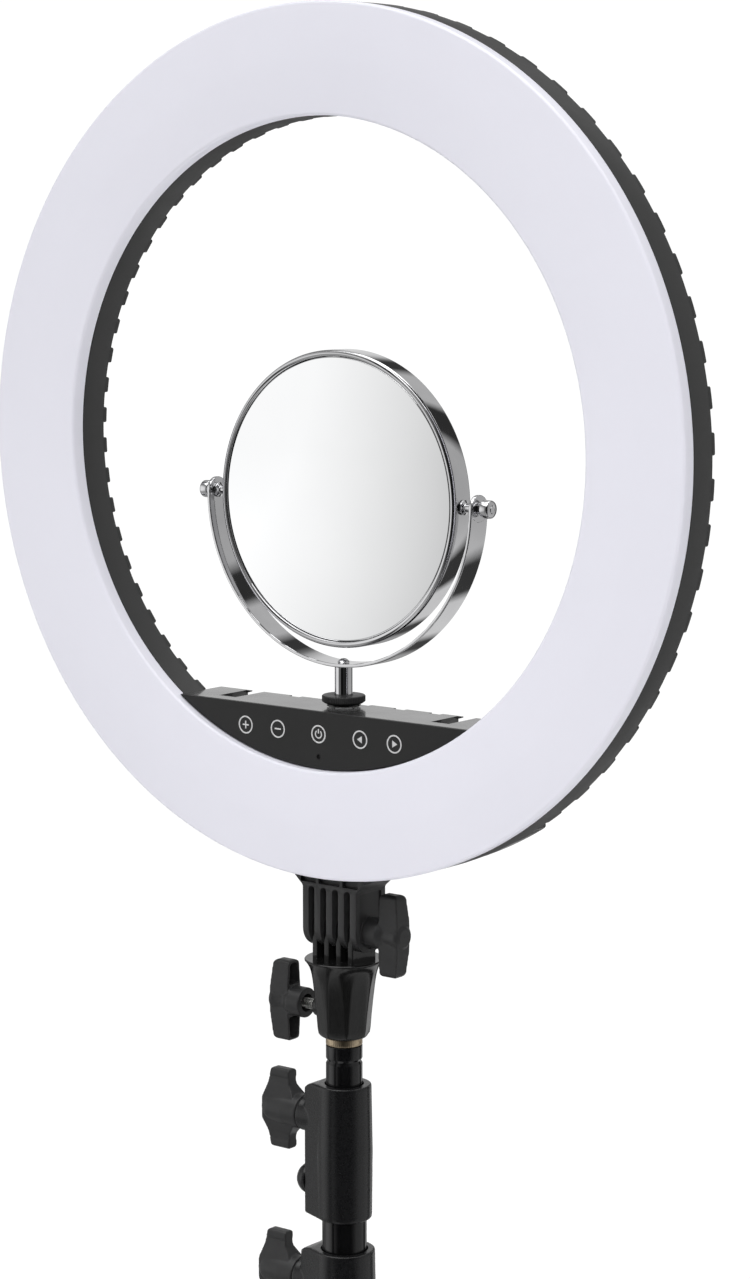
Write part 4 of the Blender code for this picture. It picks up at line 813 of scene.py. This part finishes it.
def bar_pieces(place, direction):
    """Bar knob: paddles hollow towards the hub and slimmer at their ends, low dome, plain hub."""
    half, near = KNOB_SPAN / 2, 0.0095
    side = both_ends([(near, -half, 0.0020), (0.0212, -half, 0.0030), (0.0230, -0.0085, 0.004)])
    outline = [(direction * x, z) for x, z in rounded(side, steps=5)]
    bar = prism("Bar", outline, -0.0070, 0.0070, facing(place))
    front = both_ends([(0.0046, half, 0.0028), (0.0059, 0.0060, 0.010)])
    front += [(-y, z, corner) for y, z, corner in reversed(front)]
    front = prism("Front", rounded(front, steps=6), -0.0300, 0.0300, sideways(place))
    combine(bar, [front], "INTERSECT")
    soften(bar, 0.0008, 2, 50)
    pockets = []
    for end in (-1, 1):
        outline = [(-0.0044, end * 0.0096, 0.0008), (0.0044, end * 0.0096, 0.0008)]
        outline += [(0.0033, end * (half - 0.0016), 0.0022), (-0.0033, end * (half - 0.0016), 0.0022)]
        depths = sorted((direction * 0.0050, direction * 0.0195))
        pockets.append(prism("Pocket", rounded(outline, steps=5), *depths, sideways(place)))
    carve(bar, *pockets)
    dome = [(0, 0.0245, 0), (0.0050, 0.0244, 0.0006), (0.0077, 0.0224, 0.0030), (0.0070, 0.0180, 0.003)]
    dome += [(0.0066, 0.0130, 0.003), (0.0087, 0.0090, 0.0010), (0.0087, 0, 0.0006), (0, 0, 0)]
    return [bar, turned("Hub", dome, along((direction, 0, 0), place), 64)]


def wing_pieces(place, direction):
    """Wing knob: slim paddles with a thicker bead at each tip, which swell into a rounded cone."""
    half = KNOB_SPAN / 2
    side = both_ends([(0.0092, -half, 0.0012), (0.0226, -half, 0.0020), (0.0266, -0.0065, 0.008)])
    side += both_ends([(0.0092, 0.0150, 0.005), (0.0045, 0.0088, 0.003)])
    outline = [(direction * x, z) for x, z in rounded(side, steps=5)]
    wing = prism("Wing", outline, -0.0090, 0.0090, facing(place))
    front = [(0.0035, half, 0.0016), (0.0036, half - 0.0044, 0.0004), (0.0032, half - 0.0050, 0.0008)]
    front = both_ends(front + [(0.0037, 0.0140, 0.010), (0.0072, 0.0060, 0.006)])
    front += [(-y, z, corner) for y, z, corner in reversed(front)]
    front = prism("Front", rounded(front, steps=5), -0.0300, 0.0300, sideways(place))
    combine(wing, [front], "INTERSECT")
    cone = [(0, 0.0289, 0), (0.0052, 0.0284, 0.0024), (0.0092, 0.0234, 0.0070), (0.0100, 0.0110, 0.0020)]
    cone += [(0.0100, 0, 0.0008), (0, 0, 0)]
    return [wing, turned("Hub", cone, along((direction, 0, 0), place), 64, curve=6)]


def make_lock(name, direction, pieces):
    """One lock knob with the screw inside it; pieces makes the knob's bar or wing and its hub."""
    place = Vector(JOINTS[name + "_turn"]["pos_m"])
    obj = moulded(name.title() + "_knob", pieces(place, direction), 0.00040, 3)
    bore = [(0, 0.0100), (0.0050, 0.0100), (0.0052, -0.001), (0, -0.001)]
    carve(obj, lathe("Bore", bore, along((direction, 0, 0), place), 48))
    finish(obj, name, "knob", "black_plastic", name + "_knob", angle=50, even=False)
    make_screw(name, direction)


def make_screw(name, direction):
    """Threaded zinc screw along X, as long as its solid."""
    low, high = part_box(name + "_screw")
    start = Vector(((high if direction > 0 else low).x, STAND_Y, (low.z + high.z) / 2))
    length = high.x - low.x
    pitch, root = 0.0010, SCREW_R - 0.0004
    profile = [(0, 0), (root, 0)]
    for turn in range(int((length - 0.001) / pitch)):
        base = 0.0004 + turn * pitch
        profile += [(root, base), (SCREW_R, base + 0.4 * pitch), (SCREW_R, base + 0.6 * pitch)]
    profile += [(root, length - 0.0003), (root - 0.0002, length), (0, length)]
    obj = lathe(name.title() + "_screw", profile, along((-direction, 0, 0), start), 40)
    finish(obj, name, "zinc", "zinc_steel", name + "_screw", angle=30, even=False)


# ---- the column ----

def make_tubes():
    """Glossy tubes with rounded mouths; the top one has a crimp under the adapter."""
    bodies = {"top_tube": "top_section", "middle_tube": "middle_section", "outer_tube": "column"}
    for name, radius in TUBE_RADII.items():
        low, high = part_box(name)
        inner = radius - 0.0011
        corners = [(radius, high.z, 0.0003)]
        if name == "top_tube":
            crimp = high.z - 0.0090
            corners += [(radius, crimp + 0.0016, 0.0006), (radius - 0.0009, crimp, 0.0006)]
            corners += [(radius, crimp - 0.0016, 0.0006)]
        corners += [(radius, low.z, 0.0003), (inner, low.z, 0.0002), (inner, high.z, 0.0002)]
        obj = turned(name.title(), corners, UPRIGHT, closed=True)
        finish(obj, bodies[name], "enamel", "gloss_black", name, even=False)


def make_collar(name, body, body_r, block_x, small_bore, large_bore):
    """Cast clamp: a barrel with a narrowing block for the screw and the rivet blended into it."""
    low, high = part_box(name)
    top, bottom = high.z, low.z
    middle = (top + bottom) / 2
    corners = [(0, top, 0), (body_r - 0.0003, top, 0.0008), (body_r + 0.0004, middle, 0.03)]
    corners += [(body_r, bottom, 0.0018), (0, bottom, 0)]
    barrel = turned("Barrel", corners, UPRIGHT, curve=6)
    inner_x, inner_half, outer_half = 0.34 * body_r, 0.93 * body_r, 0.0086
    slope = (inner_half - outer_half) / (block_x - inner_x)
    rings = []
    steps = ((block_x, 0.0042), (block_x - 0.0035, 0.0018), (body_r - 0.0010, 0.0003), (inner_x, 0.0003))
    for x, drop in steps:
        half, low_z, high_z = outer_half + slope * (block_x - x), bottom + 0.0004, top - drop
        corners = ((-half, low_z), (half, low_z), (half, high_z), (-half, high_z))
        rings.append([Vector((-x, STAND_Y + y, z)) for y, z in corners])
    block = loft("Block", rings)
    soften(block, 0.0009, 3, 40)
    screw = along((-1, 0, 0), on_axis(top - 0.0220))
    face = block_x + 0.0058
    boss = [(0, face, 0), (0.0103, face, 0.0006), (0.0103, 0.008, 0), (0, 0.008, 0)]
    obj = moulded(name.title(), [barrel, block, turned("Boss", boss, screw, 64)], 0.00055, 3)
    above, below, ledge, rim = top + 0.01, bottom - 0.01, top - 0.0105, small_bore + 0.0006
    mouth = [(0, above), (rim, above), (rim, top - 0.0004), (small_bore, top - 0.0010)]
    mouth += [(small_bore, ledge), (large_bore, ledge), (large_bore, below), (0, below)]
    carve(obj, lathe("Bore", mouth, UPRIGHT, 96), cylinder("Screw_hole", SCREW_HOLE_R, 0.04, 0.004, screw))
    finish(obj, body, "cast", "satin_black_metal", name, angle=50, even=False)


def make_rivet(name, body):
    """Half-round rivet head on a collar's block."""
    low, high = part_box(name)
    radius = (high.z - low.z) / 2
    tip, end = -low.x, -high.x
    seat = tip - radius
    profile = arc(radius - 0.0001, 90, 6, 14, (0, seat))
    profile += [(radius - 0.0006, seat), (0.0020, seat), (0.0020, end), (0, end)]
    obj = lathe(name.title(), profile, along((-1, 0, 0), on_axis(low.z + radius)), 64)
    finish(obj, body, "cast", "satin_black_metal", name, even=False)


# ---- the legs ----

def outward(pivot):
    """Unit vectors away from the column and across a leg's plane."""
    out = Vector((pivot.x, pivot.y - STAND_Y, 0)).normalized()
    return out, Vector((-out.y, out.x, 0))


def make_leg_collar():
    """Sliding collar with an ear each side of every leg."""
    low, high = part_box("leg_collar")
    pivot_z = LEG_PIVOTS[0].z
    screw_z = JOINTS["leg_lock_turn"]["pos_m"][2]
    corners = [(0.0153, high.z, 0.0004), (0.0205, high.z, 0.0016)]
    corners += [(0.0205, low.z, 0.0016), (0.0153, low.z, 0.0004)]
    body = turned("Leg_collar", corners, UPRIGHT, closed=True)
    extras = []
    outline = [(0.0175, pivot_z - 0.0070)] + arc(0.0070, -90, 90, 16, (0.0275, pivot_z))
    outline += [(0.0175, pivot_z + 0.0070)]
    for pivot in LEG_PIVOTS:
        out, across = outward(pivot)
        place = columns(out, (0, 0, 1), across, on_axis(0))
        for side in (-1, 1):
            ear = prism("Ear", outline, side * 0.0079 - 0.0015, side * 0.0079 + 0.0015, place)
            soften(ear, 0.0005, 2, 50)
            extras.append(ear)
    screw = along((-1, 0, 0), on_axis(screw_z))
    boss = [(0, 0.0275, 0), (0.0095, 0.0275, 0.0006), (0.0098, 0.0175, 0), (0, 0.0175, 0)]
    extras.append(turned("Boss", boss, screw, 48))
    unite(body, *extras)
    carve(body, cylinder("Hole", SCREW_HOLE_R, 0.04, 0.012, screw))
    finish(body, "leg_slider", "knob", "black_plastic", "leg_collar", angle=35)


def make_base_collar():
    """Closed collar at the column's foot with one eye for each brace."""
    low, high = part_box("base_collar")
    pivot_z = BRACE_PIVOTS[0].z
    corners = [(0, low.z + 0.002, 0), (0.0153, low.z + 0.002, 0), (0.0153, high.z, 0)]
    corners += [(0.0200, high.z, 0.0016), (0.0200, low.z, 0.0020), (0, low.z, 0)]
    body = turned("Base_collar", corners, UPRIGHT)
    eyes = []
    outline = [(0.0170, pivot_z - 0.0065)] + arc(0.0065, -90, 90, 16, (0.0250, pivot_z))
    outline += [(0.0170, pivot_z + 0.0065)]
    for pivot in BRACE_PIVOTS:
        out, across = outward(pivot)
        eye = prism("Eye", outline, -0.0080, 0.0080, columns(out, (0, 0, 1), across, on_axis(0)))
        soften(eye, 0.0006, 2, 50)
        eyes.append(eye)
    unite(body, *eyes)
    finish(body, "column", "knob", "black_plastic", "base_collar", angle=35)


def make_leg(number):
    """Round leg with a flat tongue and the barrel of its brace's rivet."""
    pivot, pad = LEG_PIVOTS[number - 1], PADS[number - 1]
    across = outward(pivot)[1]
    heel = pad + Vector((0, 0, FOOT_R - 0.0015))
    down = (heel - pivot).normalized()
    length = (heel - pivot).length
    top, bottom, inner = 0.0180, length - 0.0060, LEG_TUBE_R - 0.001
    corners = [(0, top, 0), (LEG_TUBE_R, top, 0.0008), (LEG_TUBE_R, bottom, 0.0003), (inner, bottom, 0)]
    corners += [(inner, top + 0.004, 0), (0, top + 0.004, 0)]
    leg = turned("Leg_%d" % number, corners, along(down, pivot), 64, curve=3)
    outline = arc(0.0060, 90, 270, 16) + [(0.0190, -0.0060), (0.0190, 0.0060)]
    tongue = prism("Tongue", outline, -0.0060, 0.0060, columns(down, down.cross(across), across, pivot))
    soften(tongue, 0.0006, 2, 50)
    joint = pivot + down * LEG_TO_BRACE
    barrel = both_ends([(0, 0.0086, 0), (0.0040, 0.0086, 0.0004)])
    unite(leg, tongue, turned("Barrel", barrel, along(across, joint), 32, curve=2))
    carve(leg, cylinder("Hole", 0.0023, 0.01, -0.01, along(across, pivot), 24))
    finish(leg, "leg_%d_arm" % number, "enamel", "gloss_black", "leg_%d" % number)
    make_foot(number, along(down, pivot), length)
    pin = [(0, 0.0104, 0), (0.0022, 0.0103, 0.0004), (0.0036, 0.0096, 0.0003), (0.0036, 0.0095, 0)]
    pin += [(0.0020, 0.0095, 0)]
    rivet = turned("Leg_pin_%d" % number, both_ends(pin), along(across, pivot), 32, curve=2)
    finish(rivet, "leg_slider", "zinc", "zinc_steel", "leg_pin_%d" % number, angle=35, even=False)
    make_brace(number, joint, across)


def make_foot(number, place, length):
    """Rubber foot with four grooves, cut flat where it stands."""
    sleeve = length - 0.030
    corners = [(0.0081, length - 0.0056, 0), (0.0081, sleeve, 0.0003)]
    corners += [(0.0100, sleeve, 0.0008), (0.0112, sleeve + 0.0020, 0.0006)]
    for rib in range(4):
        height = sleeve + 0.0050 + rib * 0.0040
        for radius, step in ((0.0112, 0), (0.0108, 0.0006), (0.0108, 0.0014), (0.0112, 0.0020)):
            corners.append((radius, height + step, 0.0003))
    profile = [(0, length - 0.0056)] + rounded(corners, closed=False, steps=2)
    profile += [(r, length + h) for r, h in arc(FOOT_R, 0, 90, 12)]
    foot = lathe("Foot_%d" % number, profile, place, 64)
    square = [(-0.03, -0.03), (0.03, -0.03), (0.03, 0.03), (-0.03, 0.03)]
    carve(foot, prism("Ground", square, -0.02, 0, Matrix.Translation(PADS[number - 1])))
    finish(foot, "leg_%d_arm" % number, "rubber", "rubber", "foot_%d" % number)


def make_brace(number, joint, across):
    """Two flat straps with rounded ends and the pins that join them."""
    pivot = BRACE_PIVOTS[number - 1]
    reach = joint - pivot
    rise = reach.normalized()
    place = columns(rise, rise.cross(across), across, pivot)
    outline = arc(0.0060, 90, 270, 16) + arc(0.0060, -90, 90, 16, (reach.length, 0))
    pieces = []
    for face in (-1, 1):
        strap = prism("Strap", outline, face * 0.0102 - 0.0009, face * 0.0102 + 0.0009, place)
        soften(strap, 0.0004, 2, 50)
        pieces.append(strap)
    pin = [(0, 0.0132, 0), (0.0026, 0.0130, 0.0006), (0.0036, 0.0118, 0.0003), (0.0036, 0.0110, 0)]
    pin += [(0.0020, 0.0110, 0)]
    pieces.append(turned("Pin", both_ends(pin), along(across, pivot), 32, curve=2))
    button = [(0, 0.0129, 0), (0.0030, 0.0124, 0.0008), (0.0040, 0.0110, 0.0002), (0.0040, 0.0092, 0)]
    button += [(0, 0.0092, 0)]
    for face in (-1, 1):
        pieces.append(turned("Button", button, along(across * face, joint), 32, curve=2))
    obj = pieces[0]
    obj.name = "Brace_%d" % number
    unite(obj, *pieces[1:])
    finish(obj, "brace_%d_arm" % number, "cast", "satin_black_metal", "brace_%d" % number, angle=35)


# ---- the hidden nodes keep their CAD shape and get a material ----

def dress_inner_nodes():
    looks = {"led_board": "white_board", "touch_board": "green_board", "driver_board": "green_board",
             "middle_bushing": "plastic", "top_bushing": "plastic"}
    for name, look in looks.items():
        materials = NODES[name].data.materials
        materials.clear()
        materials.append(LOOKS[look])


# ---- studio ----

def make_floor():
    """Round pale floor under the stand."""
    verts = [(x, y, 0) for x, y in arc(FLOOR_R, 0, 360, 128)[:-1]]
    floor = mesh_object("Floor", verts, [list(range(len(verts)))])
    floor.data.materials.append(surface("Pale_floor", grey(0.93), grey(0.91), (0.75, 0.85),
                                        patch=2.0, grain=400.0, depth=0.00002, specular=0.0))
    floor.visible_glossy = False


def facing_node(tree, direction):
    """How far a ray of the world points along direction."""
    ray = tree.nodes.new("ShaderNodeTexCoord").outputs["Generated"]
    dot = add_node(tree, "VectorMath", {0: ray, 1: Vector(direction).normalized()})
    dot.operation = "DOT_PRODUCT"
    return dot.outputs["Value"]


def multiply_node(tree, first, second):
    node = add_node(tree, "Math", {0: first, 1: second})
    node.operation = "MULTIPLY"
    return node.outputs[0]


def make_world():
    """White backdrop for the camera, and a room for the reflections: dark round the camera, bright
    to the left of it, and behind the light a row of grey, black and pale panels."""
    world = bpy.data.worlds.new("Studio")
    bpy.context.scene.world = world
    world.use_nodes = True
    tree = world.node_tree
    tree.nodes.clear()
    camera_side = facing_node(tree, (CAMERA_FROM_RING.x, CAMERA_FROM_RING.y, 0))
    strength = range_node(tree, camera_side, 0.45, 0.80, 1.0, 0.04)
    panels = (((-0.80, -0.60, 0.05), 0.86, 0.975, 0.60, 2.08),  # what the mirror shows
              ((-0.62, 0.77, 0.18), 0.945, 0.985, 1.0, 2.5),    # what the box's shelf shows
              ((0, 0, 1), 0.68, 0.76, 1.0, 2.2),                # a ceiling
              ((0, 0, 1), -0.05, -0.55, 1.0, 1.35))             # a paler ground
    for direction, *limits in panels:
        panel = range_node(tree, facing_node(tree, direction), *limits)
        strength = multiply_node(tree, strength, panel)
    across = range_node(tree, facing_node(tree, (1, 0, 0)), -1.0, 1.0, 0.0, 1.0)
    ramp = add_node(tree, "ValToRGB", {"Fac": across})
    stops = ramp.color_ramp.elements
    levels = ((0.0, 0.5), (0.26, 0.5), (0.30, 0.08), (0.35, 0.08), (0.40, 0.95), (0.56, 0.95),
              (0.60, 0.06), (0.70, 0.06), (0.74, 0.85), (1.0, 0.75))
    while len(stops) < len(levels):
        stops.new(0.5)
    for stop, (place, level) in zip(stops, levels):
        stop.position = place
        stop.color = (*grey(level), 1)
    room = add_node(tree, "Background", {"Color": ramp.outputs["Color"], "Strength": strength})
    plain = add_node(tree, "Background", {"Color": (1, 1, 1, 1), "Strength": 1.05})
    seen = tree.nodes.new("ShaderNodeLightPath").outputs["Is Camera Ray"]
    mix = add_node(tree, "MixShader", {"Fac": seen, 1: room.outputs[0], 2: plain.outputs[0]})
    add_node(tree, "OutputWorld", {"Surface": mix.outputs["Shader"]})


def make_lights():
    """A soft key from the camera's side that no mirror sees, and a broad light from above."""
    key = bpy.data.lights.new("Key", "AREA")
    key.shape = "RECTANGLE"
    key.size = key.size_y = KEY_SIZE
    key.energy = KEY_POWER
    obj = add_object("Key", key)
    obj.location = KEY_PLACE
    obj.rotation_euler = (RING - KEY_PLACE).to_track_quat("-Z", "Y").to_euler()
    obj.visible_glossy = False
    sun = bpy.data.lights.new("Overhead", "SUN")
    sun.energy = 2.0
    sun.angle = radians(70)
    add_object("Overhead", sun).rotation_euler = (radians(14), radians(-6), 0)


def make_camera():
    camera = bpy.data.cameras.new("Camera")
    camera.sensor_width = 36.0
    camera.lens = CAMERA_LENS
    camera.clip_end = 100.0
    obj = add_object("Camera", camera)
    obj.location = RING + CAMERA_FROM_RING
    obj.rotation_euler = (pi / 2 - CAMERA_DIP, 0, CAMERA_TURN)
    bpy.context.scene.camera = obj
    bpy.context.scene.view_settings.view_transform = "Standard"


# ---- everything ----

make_lens()
make_band()
make_cover()
make_box()
make_inlet()
make_panel()
make_symbols()
make_mirror()
make_pivots()
make_yoke()
make_post()
make_bracket()
make_socket()
make_spigot()
make_tubes()
make_collar("upper_collar", "middle_section", 0.0158, 0.0225, 0.0107, 0.01305)
make_collar("lower_collar", "column", 0.0178, 0.0255, 0.01305, 0.0153)
make_rivet("upper_rivet", "middle_section")
make_rivet("lower_rivet", "column")
make_lock("tilt_lock", 1, bar_pieces)
make_lock("socket_lock", -1, bar_pieces)
for lock_name in ("upper_lock", "lower_lock", "leg_lock"):
    make_lock(lock_name, -1, wing_pieces)
make_leg_collar()
make_base_collar()
for leg_number in (1, 2, 3):
    make_leg(leg_number)
dress_inner_nodes()
make_floor()
make_world()
make_lights()
make_camera()
